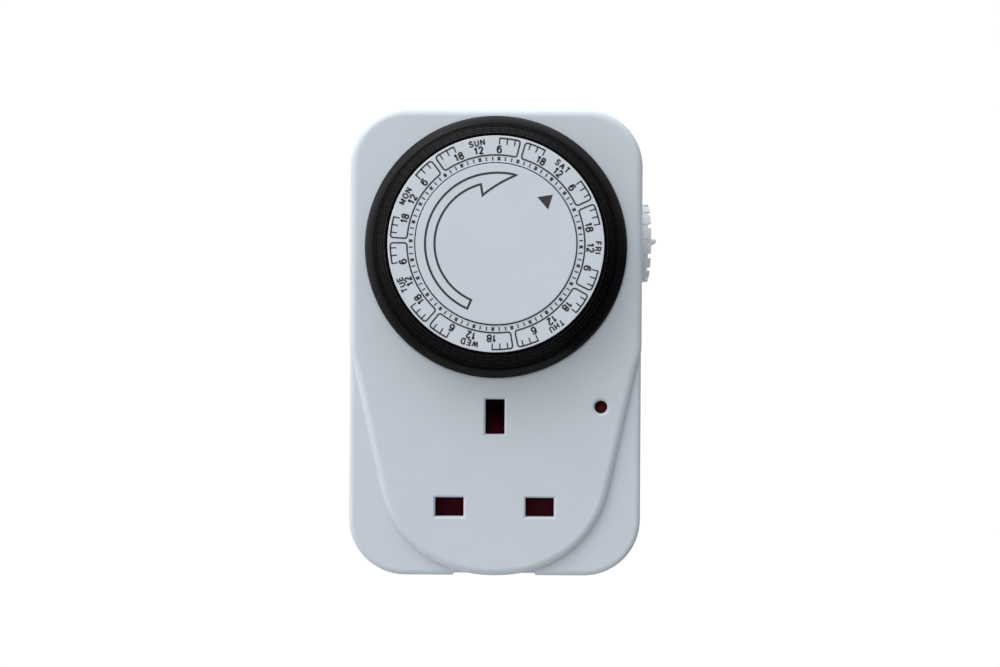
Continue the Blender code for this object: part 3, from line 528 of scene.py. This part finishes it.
def build_cover():
    outline, panel = case_outline(), panel_outline()
    # A fine chamfer at the seam makes the joint line between the two halves
    rings = [at_y(offset(outline, SEAM_CHAMFER), COVER_BACK), at_y(outline, COVER_BACK - SEAM_CHAMFER)]
    cover = loft("front_cover_shell", rings + rounded_front(outline, SHOULDER, EDGE_R), WHITE)
    boolean(cover, "DIFFERENCE", notch_cutter())
    within = offset(panel, 0.05)
    rings = [at_y(within, COVER_BACK - 1.0), at_y(within, SHOULDER + 0.6)]
    raised = loft("raised", rings + rounded_front(panel, FACE, PANEL_R, 10), WHITE)
    boolean(cover, "UNION", raised)
    boolean(cover, "UNION", panel_fillet(outline, panel))

    inner, panel_inner = offset(outline, WALL), offset(panel, WALL + 0.1)
    room = loft("room", [at_y(inner, COVER_BACK + 1), at_y(inner, SHOULDER + WALL)])
    room_2 = loft("room_2", [at_y(panel_inner, SHOULDER + WALL + 3), at_y(panel_inner, FACE + WALL)])
    opening = [
        (0, FACE - 1), (OPENING_MOUTH, FACE - 1), (OPENING_MOUTH, FACE), (OPENING_R, FACE + 0.25),
        (OPENING_R, INSIDE), (0, INSIDE),
    ]
    cutters = [room, room_2, lathe("opening", opening, (0, 0, DIAL_Z), steps=120)]
    cutters.append(socket_slot(PIN_X, LIVE_Z, LIVE_SLOT))
    cutters.append(socket_slot(-PIN_X, LIVE_Z, LIVE_SLOT))
    cutters.append(socket_slot(0, EARTH_Z, EARTH_SLOT))
    neon = [
        (0, FACE - 1), (2.35, FACE - 1), (2.35, FACE), (2.2, FACE + 0.06), (1.6, FACE + 0.5),
        (1.56, INSIDE), (0, INSIDE),
    ]
    cutters.append(lathe("neon_hole", neon, (NEON_X, 0, NEON_Z), steps=40))
    knob = [(0, 30), (4.3, 30), (4.3, 40), (0, 40)]
    cutters.append(lathe("knob_hole", knob, (0, KNOB_Y, KNOB_Z), "X", 40))
    boolean(cover, "DIFFERENCE", *cutters)
    put(cover, "case", "white_plastic", "front_cover")


def build_rear():
    outline = case_outline()
    rings = []
    for inward, y in (
        (1.3, 0), (0.75, -0.12), (0.3, -0.42), (0.07, -0.85), (0, -1.4), (0, SEAM + SEAM_CHAMFER),
        (SEAM_CHAMFER, SEAM), (1.2, SEAM), (1.2, SEAM - 1.5), (WALL, SEAM - 1.5), (WALL, -2.5),
    ):
        rings.append(at_y(offset(outline, inward) if inward else outline, y))
    tray = loft("rear_housing_shell", rings, REAR_WHITE)
    posts = []
    boss = [(0, -2.3), (4.2, -2.3), (4.2, SEAM + 0.1), (0, SEAM + 0.1)]
    for x, z in sorted(SCREW_PLACES):
        posts.append(lathe("boss", boss, (x, 0, z), steps=32))
    post = rectangle(*SWITCH_POST, SWITCH_POST_SIZE)
    posts.append(loft("post", [at_y(post, y) for y in (-16.2, -2.3)]))
    boolean(tray, "UNION", *posts)
    cutters = []
    bore = [
        (0, 0.5), (3.5, 0.5), (3.4, 0), (3.1, -0.3), (3.1, -6.0), (1.7, -6.0), (1.7, -14), (0, -14),
    ]
    for x, z in sorted(SCREW_PLACES):
        cutters.append(lathe("counterbore", bore, (x, 0, z), steps=40))
    for x, z, size in ((PIN_X, LIVE_Z, LIVE_PIN), (-PIN_X, LIVE_Z, LIVE_PIN), (0, EARTH_Z, EARTH_PIN)):
        rings = []
        for grow, y in ((0.5, 0.5), (0.35, 0), (0.1, -0.3), (0.1, -3)):
            rings.append(at_y(rectangle(x, z, size, grow, 0.2), y))
        cutters.append(loft("window", rings))
    # A shallow moulded recess frames the pins
    rings = []
    for grow, y in ((0.3, 0.4), (0, -0.45)):
        rings.append(at_y(rectangle(0, RECESS_Z, RECESS_SIZE, grow, corner=4.0, steps=8), y))
    cutters.append(loft("recess", rings))
    boolean(tray, "DIFFERENCE", *cutters)
    put(tray, "case", "white_plastic", "rear_housing")


# ---------------------------------------------------------------- dial

def build_skirt():
    """The black skirt and the slotted floor that carries the tappets."""
    profile = [
        (4.15, 11.05), (4.15, 5.0), (6.0, 5.0), (6.0, 9.7), (24.25, 9.7), (24.25, -1.0), (27.1, -1.0),
        (28.8, -1.0), (30.5, -1.0), (30.6, -0.9), (30.6, 0.6), (31.95, 0.6), (32.1, 0.75), (32.12, 1.0),
        (32.02, 1.25), (31.75, 1.6), (31.35, 2.05), (30.95, 2.45), (30.5, 2.82), (30.15, 3.05),
        (29.85, 3.1), (29.72, 3.0), (29.69, 2.8), (29.69, 0.3), (28.8, 0.3), (27.1, 0.3), (25.7, 0.3),
        (25.6, 0.4), (25.6, 11.05),
    ]
    skirt = dial_lathe("dial_skirt", profile, 252, SKIRT_BLACK)
    section = ((27.2, -1.5), (28.7, -1.5), (28.7, 0.8), (27.2, 0.8))
    slots = []
    for i in range(TAPPETS):
        middle = MIDNIGHT + (i + 0.5) * PITCH
        sides = (middle - SLOT_HALF, middle + SLOT_HALF)
        slots.append(loft("slot", [[above_face(r, angle, h) for r, h in section] for angle in sides]))
    boolean(skirt, "DIFFERENCE", join("slots", slots))
    put(skirt, "dial", "dial_black", "dial_carrier")


def tappet_mesh(middle):
    """One stepped tappet with softened edges on its stem, about its own middle angle."""
    block = [
        (26.1, 3.3), (29.6, 3.3), (29.6, 3.8), (29.45, 4.0), (28.68, 4.38), (28.5, 4.6), (28.42, 6.85),
        (28.3, 7.05), (27.75, 7.42), (27.62, 7.6), (27.5, 9.5), (27.38, 9.68), (26.85, 10.0),
        (26.74, 10.2), (26.66, 11.3), (26.55, 11.48), (26.1, 11.5),
    ]
    foot = [(27.35, -2.0), (28.55, -2.0), (28.55, 3.5), (27.35, 3.5)]
    points = []
    for side, pull in ((-2.10, 0.05), (-2.0, 0.0), (2.0, 0.0), (2.10, 0.05)):
        for k, (radius, h) in enumerate(block):
            if 1 < k < len(block) - 1:
                radius, h = radius - pull, h - pull * 0.6
            points.append(above_face(radius, middle + side, h))
    faces = skin(4, len(block)) + skin(2, len(foot), len(points))
    for side in (-1.02, 1.02):
        points += [above_face(radius, middle + side, h) for radius, h in foot]
    return make("tappet", points, faces, TAPPET_BLACK, TAPPET_SHARP)


def build_tappets():
    for d, day in enumerate(DAYS):
        start = MIDNIGHT + DAY - d * DAY
        pieces = [tappet_mesh(start - (i + 0.5) * PITCH) for i in range(BANK)]
        if d == 0:
            for i, piece in enumerate(pieces, 1):
                node = f"tappet_sat_{i:02d}"
                piece.name = "seg_" + node
                put(piece, node + "_body", "tappet_black", node)
        else:
            node = f"tappets_{day.lower()}"
            bank = join("seg_" + node, pieces)
            bank.data.set_sharp_from_angle(angle=math.radians(TAPPET_SHARP))
            put(bank, node + "_body", "tappet_black", node)


def build_scale():
    top = SCALE_HEIGHT
    profile = [
        (19.32, 11.2), (25.58, 11.2), (25.68, 11.3), (25.68, top - 0.22), (25.62, top - 0.07),
        (25.48, top), (19.5, top), (19.36, top - 0.06), (19.32, top - 0.2),
    ]
    put(dial_lathe("scale_ring", profile, 252, DIAL_WHITE), "dial", "white_plastic", "dial_scale")
    top = DISC_HEIGHT
    profile = [
        (0, 5.0), (1.2, 5.0), (1.2, 11.5), (18.95, 11.5), (19.05, 11.6), (19.05, top - 0.25),
        (18.98, top - 0.08), (18.82, top), (0, top),
    ]
    put(dial_lathe("centre_plate", profile, 200, DIAL_WHITE), "case", "white_plastic", "centre_disc")


class Print:
    """Ink laid on a flat face as thin raised shapes."""

    def __init__(self, y):
        self.back, self.front = y + PRINT_SUNK, y - PRINT_THICK
        self.points, self.faces = [], []

    def shape(self, outline):
        """A simple closed outline of (x, z) points."""
        self.faces += skin(2, len(outline), len(self.points))
        for y in (self.back, self.front):
            self.points += at_y(outline, y)

    def line(self, path, width, closed=False):
        """A line of even width along (x, z) points, mitred at its corners, as one strip of quads."""
        count = len(path)
        base = len(self.points)
        for i, (x, z) in enumerate(path):
            before = path[i - 1] if i or closed else None
            after = path[(i + 1) % count] if i < count - 1 or closed else None
            normals = []
            for a, b in ((before, (x, z)), ((x, z), after)):
                if a and b:
                    length = math.dist(a, b)
                    normals.append(((a[1] - b[1]) / length, (b[0] - a[0]) / length))
            (ax, az), (bx, bz) = normals[0], normals[-1]
            reach = width / 2 / max(1 + ax * bx + az * bz, 0.35)
            nx, nz = (ax + bx) * reach, (az + bz) * reach
            for y in (self.back, self.front):
                self.points += [(x - nx, y, z - nz), (x + nx, y, z + nz)]
        for i in range(count if closed else count - 1):
            a, b = base + 4 * i, base + 4 * ((i + 1) % count)
            for p, q in ((0, 1), (1, 3), (3, 2), (2, 0)):
                self.faces.append((a + p, a + q, b + q, b + p))
        if not closed:
            last = base + 4 * (count - 1)
            self.faces += [(base, base + 1, base + 3, base + 2), (last, last + 1, last + 3, last + 2)]

    def band(self, middle, half, inner, outer):
        """A short radial bar, from middle - half to middle + half degrees."""
        start, end = middle - half, middle + half
        corners = ((inner, start), (inner, end), (outer, end), (outer, start))
        self.shape([on_dial(radius, angle) for radius, angle in corners])

    def text(self, word, height, radius, angle, width, gap):
        """Drawn letters centred on a point of the dial, their tops outward."""
        size = height - width
        total = sum(GLYPHS[c][0] for c in word) * size + (len(word) - 1) * (width + gap)
        sin, cos = math.sin(math.radians(angle)), math.cos(math.radians(angle))
        along = -total / 2
        for c in word:
            for stroke in [part for whole in GLYPHS[c][1:] for part in parts_of(whole)]:
                path = []
                for gx, gz in stroke:
                    across, up = along + gx * size, (gz - 0.5) * size + radius
                    path.append((across * cos + up * sin, DIAL_Z - across * sin + up * cos))
                closed = stroke[0] == stroke[-1]
                self.line(path[:-1] if closed else path, width, closed)
            along += GLYPHS[c][0] * size + width + gap

    def done(self, name):
        return make(name, self.points, self.faces, INK, PRINT_SHARP)


def parts_of(stroke):
    """Splits a letter's stroke where it turns back sharply, since a mitre there would run thin."""
    parts = [[stroke[0]]]
    for before, here, after in zip(stroke, stroke[1:], stroke[2:]):
        parts[-1].append(here)
        a = (here[0] - before[0], here[1] - before[1])
        b = (after[0] - here[0], after[1] - here[1])
        if a[0] * b[0] + a[1] * b[1] < TURN_BACK * math.hypot(*a) * math.hypot(*b):
            parts.append([here])
    parts[-1].append(stroke[-1])
    return parts


def bow(x, z, half_w, half_h, start, end, steps=8):
    """Part of an ellipse, for letters. Angles run clockwise from the top."""
    points = []
    for i in range(steps + 1):
        t = math.radians(start + (end - start) * i / steps)
        points.append((x + half_w * math.sin(t), z + half_h * math.cos(t)))
    return points


def oval(x, z, half_w, half_h):
    """A whole ellipse, whose last point is its first."""
    points = bow(x, z, half_w, half_h, 0, 360, 14)
    return points[:-1] + [points[0]]


# Letters and figures of a plain face: the width, then the strokes, for a height of 1
GLYPHS = {
    "A": (0.74, [(0, 0), (0.37, 1), (0.74, 0)], [(0.15, 0.34), (0.59, 0.34)]),
    "D": (0.66, [(0, 0), (0, 1)] + bow(0.28, 0.5, 0.38, 0.5, 0, 180) + [(0, 0)]),
    "E": (0.6, [(0.6, 1), (0, 1), (0, 0), (0.6, 0)], [(0, 0.52), (0.54, 0.52)]),
    "F": (0.56, [(0.56, 1), (0, 1), (0, 0)], [(0, 0.52), (0.5, 0.52)]),
    "H": (0.64, [(0, 0), (0, 1)], [(0.64, 0), (0.64, 1)], [(0, 0.53), (0.64, 0.53)]),
    "I": (0.0, [(0, 0), (0, 1)]),
    "M": (0.76, [(0, 0), (0, 1), (0.38, 0.08), (0.76, 1), (0.76, 0)]),
    "N": (0.66, [(0, 0), (0, 1), (0.66, 0), (0.66, 1)]),
    "O": (0.76, oval(0.38, 0.5, 0.38, 0.5)),
    "R": (
        0.64,
        [(0, 0), (0, 1)] + bow(0.34, 0.74, 0.28, 0.26, 0, 180) + [(0, 0.48)],
        [(0.34, 0.48), (0.64, 0)],
    ),
    "S": (0.62, bow(0.31, 0.745, 0.29, 0.255, 75, -160) + bow(0.31, 0.265, 0.31, 0.265, 20, 250)),
    "T": (0.64, [(0, 1), (0.64, 1)], [(0.32, 1), (0.32, 0)]),
    "U": (0.64, [(0, 1)] + bow(0.32, 0.32, 0.32, 0.32, -90, -270) + [(0.64, 1)]),
    "W": (1.0, [(0, 1), (0.25, 0), (0.5, 0.92), (0.75, 0), (1.0, 1)]),
    "1": (0.3, [(0, 0.74), (0.16, 0.82), (0.27, 1), (0.27, 0)]),
    "2": (0.58, bow(0.29, 0.71, 0.27, 0.29, -80, 110) + [(0.3, 0.32), (0.0, 0.0), (0.58, 0)]),
    "6": (0.58, oval(0.29, 0.32, 0.29, 0.32), bow(0.31, 0.6, 0.31, 0.4, 55, -90, 6) + [(0.0, 0.36)]),
    "8": (0.58, oval(0.29, 0.77, 0.25, 0.23), oval(0.29, 0.28, 0.29, 0.28)),
}


def day_side(noon, side):
    """Half of a day's outline: along the rim, round the corner, down its side and along the foot."""
    corner = 0.65
    half, rim_turn, foot_turn = DAY / 2 - 1.45, 1.5, 1.75
    bare = DAY / 4
    places = [(DAY_RIM, bare + (half - bare - rim_turn) * k / 5) for k in range(6)]
    for k in range(1, 5):
        t = math.pi / 2 * k / 4
        out = DAY_RIM - corner + corner * math.cos(t)
        places.append((out, half - rim_turn + rim_turn * math.sin(t)))
    for k in range(4):
        t = math.pi / 2 * k / 4
        out = DAY_FOOT + corner - corner * math.sin(t)
        places.append((out, half - foot_turn * (1 - math.cos(t))))
    places += [(DAY_FOOT, (half - foot_turn) * (1 - k / 12)) for k in range(12)]
    return [on_dial(radius, noon + side * angle) for radius, angle in places]


def build_scale_print():
    ink = Print(FACE - SCALE_HEIGHT)
    for i in range(TAPPETS):
        angle = MIDNIGHT + i * PITCH
        if i % 3 == 0:
            ink.band(angle, half=1.0, inner=19.75, outer=20.62)
        else:
            ink.band(angle, half=0.42, inner=19.72, outer=20.64)
    for d, day in enumerate(DAYS):
        noon = MIDNIGHT + DAY / 2 - d * DAY
        left, right = day_side(noon, -1), day_side(noon, 1)
        for side in (-1, 1):
            for hours in (6, 8, 10):
                angle = noon + side * hours * DAY / 24
                ink.band(angle, half=0.36, inner=23.55, outer=25.1)
        ink.line(left + [on_dial(DAY_FOOT, noon)] + right[::-1], width=0.38)
        ink.text(day, height=1.62, radius=24.2, angle=noon, width=0.36, gap=0.22)
        for hour, at in (("18", 0.6 - DAY / 4), ("12", 0.3), ("6", DAY / 4)):
            ink.text(hour, height=1.97, radius=22.4, angle=noon + at, width=0.42, gap=0.18)
    put(ink.done("scale_print"), "dial", None)


def build_disc_print():
    """The arrow that shows which way the dial turns, and the pointer to the time now."""
    ink = Print(FACE - DISC_HEIGHT)
    steps = 40
    tail, outer_end, inner_end = -156.5, -5.0, -14.5
    outer, inner = [], []
    for i in range(steps + 1):
        outer.append(on_dial(ARROW_OUTER, tail + (outer_end - tail) * i / steps))
        inner.append(on_dial(ARROW_INNER, inner_end + (tail - inner_end) * i / steps))
    tip = on_dial(16.95, 16.5)
    barb = on_dial(11.9, -15.7)
    outline = outer + bezier((outer[-1], on_dial(16.9, 2.0), on_dial(17.0, 9.0), tip), 8)
    outline += bezier((tip, on_dial(15.4, 8.0), on_dial(13.4, -4.0), barb), 10) + inner
    ink.line(outline, width=0.52, closed=True)
    point, foot, half = 17.77, 14.75, 7.6
    ink.shape([on_dial(point, POINTER), on_dial(foot, POINTER + half), on_dial(foot, POINTER - half)])
    put(ink.done("disc_print"), "case", None)


# ---------------------------------------------------------------- knob, lamp, plug

def knob_notches():
    """The gaps between the knob's teeth, deeper at the front so that its rim stands as a thin crown."""
    notches = []
    for i in range(KNOB_TEETH):
        t = 2 * math.pi * i / KNOB_TEETH
        along, across = (math.cos(t), math.sin(t)), (-math.sin(t), math.cos(t))
        rings = []
        for reach, x, half in (
            (9.9, 36.8, 0.5), (9.85, 38.2, 0.5), (9.3, 38.43, 0.62), (9.3, 40.0, 0.62),
        ):
            ring = []
            for out, side in ((reach, -half), (11.0, -half - 0.06), (11.0, half + 0.06), (reach, half)):
                y = KNOB_Y + along[0] * out + across[0] * side
                ring.append((x, y, KNOB_Z + along[1] * out + across[1] * side))
            rings.append(ring)
        notches.append(loft("notch", rings))
    return join("notches", notches)


def build_knob():
    """A crown of notched teeth round a dished disc, with a raised grip across it."""
    centre = (0, KNOB_Y, KNOB_Z)
    rim = [
        (0, 36.62), (KNOB_R - 0.35, 36.62), (KNOB_R - 0.1, 36.72), (KNOB_R, 36.95), (KNOB_R, 38.85),
        (KNOB_R - 0.08, 39.03), (KNOB_R - 0.2, 39.1), (9.72, 39.1), (9.62, 39.03), (9.56, 38.55),
        (9.4, 38.4), (0, 38.4),
    ]
    knob = lathe("override_dial", rim, centre, "X", 112, KNOB_WHITE)
    boolean(knob, "DIFFERENCE", knob_notches())
    floor = 37.9
    section = [
        (floor, 1.8), (38.5, 1.7), (38.95, 1.42), (39.25, 1.0), (39.6, 0.68), (40.25, 0.58),
        (40.43, 0.45), (40.5, 0.25),
    ]
    section = [(x, -z) for x, z in section] + section[::-1]
    grip = []
    for y, size in ((-8.3, 0.62), (-8.05, 0.85), (-7.5, 1.0), (7.5, 1.0), (8.05, 0.85), (8.3, 0.62)):
        grip.append([(floor + (x - floor) * size, KNOB_Y + y, KNOB_Z + z * size) for x, z in section])
    stem = [(0, 37.3), (4.0, 37.3), (4.0, 33.6), (2.5, 33.6), (2.5, 23.4), (0, 23.4)]
    shaft = lathe("shaft", stem, centre, "X", 40)
    boolean(knob, "UNION", loft("ridge", grip), shaft)
    put(knob, "override", "knob_plastic", "override_knob")
    # A raised pip on the case marks the knob's automatic position, and a smaller one its other end
    for angle, size in ((0, 0.55), (90, 0.4)):
        y, z = polar(12.0, angle, (KNOB_Y, KNOB_Z))
        profile = [(0, 35.9), (size + 0.15, 35.9), (size, 36.2), (size * 0.6, 36.38), (0, 36.42)]
        pip = lathe(f"knob_pip_{angle}", profile, (0, y, z), "X", 24, WHITE)
        put(pip, "case", "white_plastic")


def build_neon():
    """The lamp's lens: a raised ring round a dish, sunk in its hole."""
    profile = [
        (0, -37.22), (0.82, -37.2), (0.92, -37.25), (1.02, -37.44), (1.1, -37.54), (1.2, -37.57),
        (1.36, -37.54), (1.48, -37.42), (1.52, -37.2), (1.52, -36.65), (1.42, -36.6), (1.42, -35.8),
        (0, -35.8),
    ]
    lens = lathe("neon_window", profile, (NEON_X, 0, NEON_Z), steps=48, material=LENS_RED)
    put(lens, "case", "red_lens", "neon_lens")


def build_pins():
    def rings_of(x, z, size, corner, steps):
        return [at_y(rectangle(x, z, size, grow, corner), y) for grow, y in steps]

    for name, x in (("line_pin", PIN_X), ("neutral_pin", -PIN_X)):
        rings = rings_of(x, LIVE_Z, PIN_COLLAR, 0.4, ((0, -5.6), (0, -2.65)))
        rings += rings_of(x, LIVE_Z, LIVE_PIN, 0.3, ((-0.05, -2.65), (-0.05, 0.05)))
        rings += rings_of(x, LIVE_Z, LIVE_PIN, 0.2, ((-0.6, 0.05), (-0.6, 9.6)))
        tip = (
            (-0.06, 9.6), (0.0, 9.66), (0.0, 16.6), (-0.08, 16.95), (-0.3, 17.35), (-0.75, 17.62),
            (-1.2, 17.7),
        )
        rings += rings_of(x, LIVE_Z, LIVE_PIN, 0.3, tip)
        put(loft(name + "_blade", rings, BRASS), "case", "brass", name)
        shell = ((-0.05, 0.15), (0.0, 0.25), (0.0, 9.35), (-0.06, 9.5), (-0.45, 9.5), (-0.45, 0.15))
        rings = rings_of(x, LIVE_Z, LIVE_PIN, 0.3, shell)
        sleeve = loft(name + "_insulator", rings, INNER_BLACK, loop=True)
        put(sleeve, "case", "black_plastic", name + "_sleeve")
    rings = rings_of(0, EARTH_Z, EARTH_COLLAR, 0.4, ((0, -5.6), (0, -2.65)))
    blade = ((0.0, -2.65), (0.0, 21.2), (-0.1, 21.7), (-0.35, 22.2), (-0.85, 22.6), (-1.3, 22.7))
    rings += rings_of(0, EARTH_Z, EARTH_PIN, 0.35, blade)
    put(loft("earth_pin_blade", rings, BRASS), "case", "brass", "earth_pin")


def build_screws():
    """Pan-head screws with a cross recess, at the bottom of the counterbores."""
    under_head, thread_end, pitch = -5.85, -23.6, 0.9
    root, crest = 1.1, 1.4
    head = [(0, -4.15), (1.2, -4.2), (2.2, -4.42), (2.65, -4.75), (2.8, -5.2), (2.75, under_head)]
    for i, (x, z) in enumerate(SCREW_PLACES, 1):
        profile = head + [(crest, under_head)]
        y = under_head
        while y > thread_end:
            profile += [(root, y - 0.45), (crest, y - 0.7)]
            y -= pitch
        profile.append((0, -24.8))
        screw = lathe(f"screw_{i}", profile, (x, 0, z), steps=32, material=STEEL)
        cross = []
        for size in ((3.2, 0.62), (0.62, 3.2)):
            rings = [at_y(rectangle(x, z, size, grow), y) for grow, y in ((0.0, -4.0), (-0.12, -5.2))]
            cross.append(loft("recess", rings))
        boolean(screw, "DIFFERENCE", *cross)
        put(screw, "case", "zinc_steel", f"housing_screw_{i}")


def build_spring():
    """The shutter's return spring, which moves with the shutter as one piece.
    """
    low, high, radius, wire = -54.6, -43.6, 1.8, 0.25
    turns, steps, closed_rise = 7, 24, 0.52
    rings = []
    for i in range(turns * steps + 1):
        turn = i / steps
        ends = min(turn, 1.0) + max(turn - turns + 1, 0.0)
        middle = min(max((turn - 1) / (turns - 2), 0.0), 1.0)
        z = low + closed_rise * ends + (high - low - 2 * closed_rise) * middle
        ring = []
        for k in range(8):
            out, up = polar(wire, 45 * k)
            x, y = polar(radius + out, 360 * turn)
            ring.append((x, SPRING_Y + y, z + up))
        rings.append(ring)
    coil = loft("shutter_coil", rings, STEEL)
    put(coil, "socket_shutter", "zinc_steel", "shutter_spring")
    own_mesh(coil)


def dress_frame():
    """Materials for the CAD pieces that stay as they are."""
    looks = {
        BRASS: ("neutral_strap", "motor_front_plate", "motor_pinion"),
        # The contacts take the near-black colour that paints the shade inside the case
        SHADED_CONTACT: ("line_contact", "neutral_contact", "earth_contact"),
        COPPER: ("line_strap", "switched_strap"),
        STEEL: ("movement_plate", "motor_can", "lever_pin"),
        IVORY: ("microswitch_plunger", "switch_lever", "neon_resistor"),
        INNER_BLACK: (
            "contact_carrier", "carrier_base", "microswitch_body", "override_cam", "dial_gear",
        ),
        GEAR_WHITE: ("gear_wheel_1", "gear_wheel_2"),
        RED: ("shutter",),
        LAMP_GLASS: ("neon_lamp",),
        BROWN: ("motor_lead_line",),
        BLUE: ("motor_lead_neutral",),
    }
    for look, nodes in looks.items():
        for node in nodes:
            obj = bpy.data.objects[node]
            if not obj.material_slots:
                obj.data.materials.append(look)
            for held in obj.material_slots:
                held.material = look


# ---------------------------------------------------------------- studio

def build_floor():
    sheet = rectangle(0, 0, (2 * FLOOR_HALF, 2 * FLOOR_HALF))
    floor = make("floor", [(x, y, FLOOR_Z) for x, y in sheet], [(0, 1, 2, 3)], None)
    ground = Nodes("floor_paper")
    patches = ground.noise(size_mm=60.0)
    base = ground.ramp(patches, ((0.3, (0.50, 0.50, 0.50)), (0.7, (0.53, 0.53, 0.53))))
    ground.set(Base_Color=base, Roughness=0.85)
    floor.data.materials.append(ground.material)


def build_room():
    """The light is white behind the object. In front it is grey, brighter towards the upper left."""
    world = bpy.data.worlds.new("studio")
    world.use_nodes = True
    bpy.context.scene.world = world
    tree = world.node_tree

    def add(kind, value=None):
        node = tree.nodes.new(kind)
        if value:
            tree.links.new(value, node.inputs[0])
        return node

    def fit(value, span, to=(0.0, 1.0)):
        node = add("ShaderNodeMapRange", value)
        for key, number in zip(("From Min", "From Max", "To Min", "To Max"), (*span, *to)):
            node.inputs[key].default_value = number
        return node.outputs["Result"]

    direction = add("ShaderNodeTexCoord").outputs["Generated"]
    split = add("ShaderNodeSeparateXYZ", direction)
    toward = add("ShaderNodeVectorMath", direction)
    toward.operation = "DOT_PRODUCT"
    toward.inputs[1].default_value = BRIGHT_SIDE
    grey = fit(toward.outputs["Value"], GREY_SPAN, GREYS)
    behind = fit(split.outputs["Y"], WHITE_SPAN)
    light = mix_colours(tree, behind, grey, ROOM_WHITE)
    # The backdrop that shows round the object is plain: white behind it and pale grey elsewhere
    backdrop = mix_colours(tree, behind, BACKDROP_GREY, ROOM_WHITE)
    seen = add("ShaderNodeLightPath").outputs["Is Camera Ray"]
    colour = mix_colours(tree, seen, light, backdrop)
    tree.links.new(colour, tree.nodes["Background"].inputs["Color"])


def build_key_light():
    light = bpy.data.lights.new("key", "AREA")
    light.shape = "RECTANGLE"
    light.size, light.size_y = KEY_SIZE, KEY_SIZE
    light.energy = KEY_POWER
    light.color = (1.0, 0.99, 0.97)
    obj = bpy.data.objects.new("key", light)
    obj.location = KEY_PLACE
    aim = Vector(KEY_AIM) - Vector(KEY_PLACE)
    obj.rotation_euler = aim.to_track_quat("-Z", "Y").to_euler()
    bpy.context.scene.collection.objects.link(obj)


def build_camera():
    camera = bpy.data.cameras.new("camera")
    camera.lens = LENS_MM
    camera.sensor_width = SENSOR_MM
    camera.clip_start = 0.01
    view = bpy.data.objects.new("camera", camera)
    view.location = CAMERA_PLACE
    view.rotation_euler = (math.radians(90), math.radians(CAMERA_TILT), 0)
    bpy.context.scene.collection.objects.link(view)
    bpy.context.scene.camera = view
    bpy.context.scene.view_settings.view_transform = "Standard"


def main():
    build_floor()
    build_room()
    build_key_light()
    build_camera()
    build_cover()
    build_rear()
    build_skirt()
    build_tappets()
    build_scale()
    build_scale_print()
    build_disc_print()
    build_knob()
    build_neon()
    build_pins()
    build_screws()
    build_spring()
    dress_frame()


main()
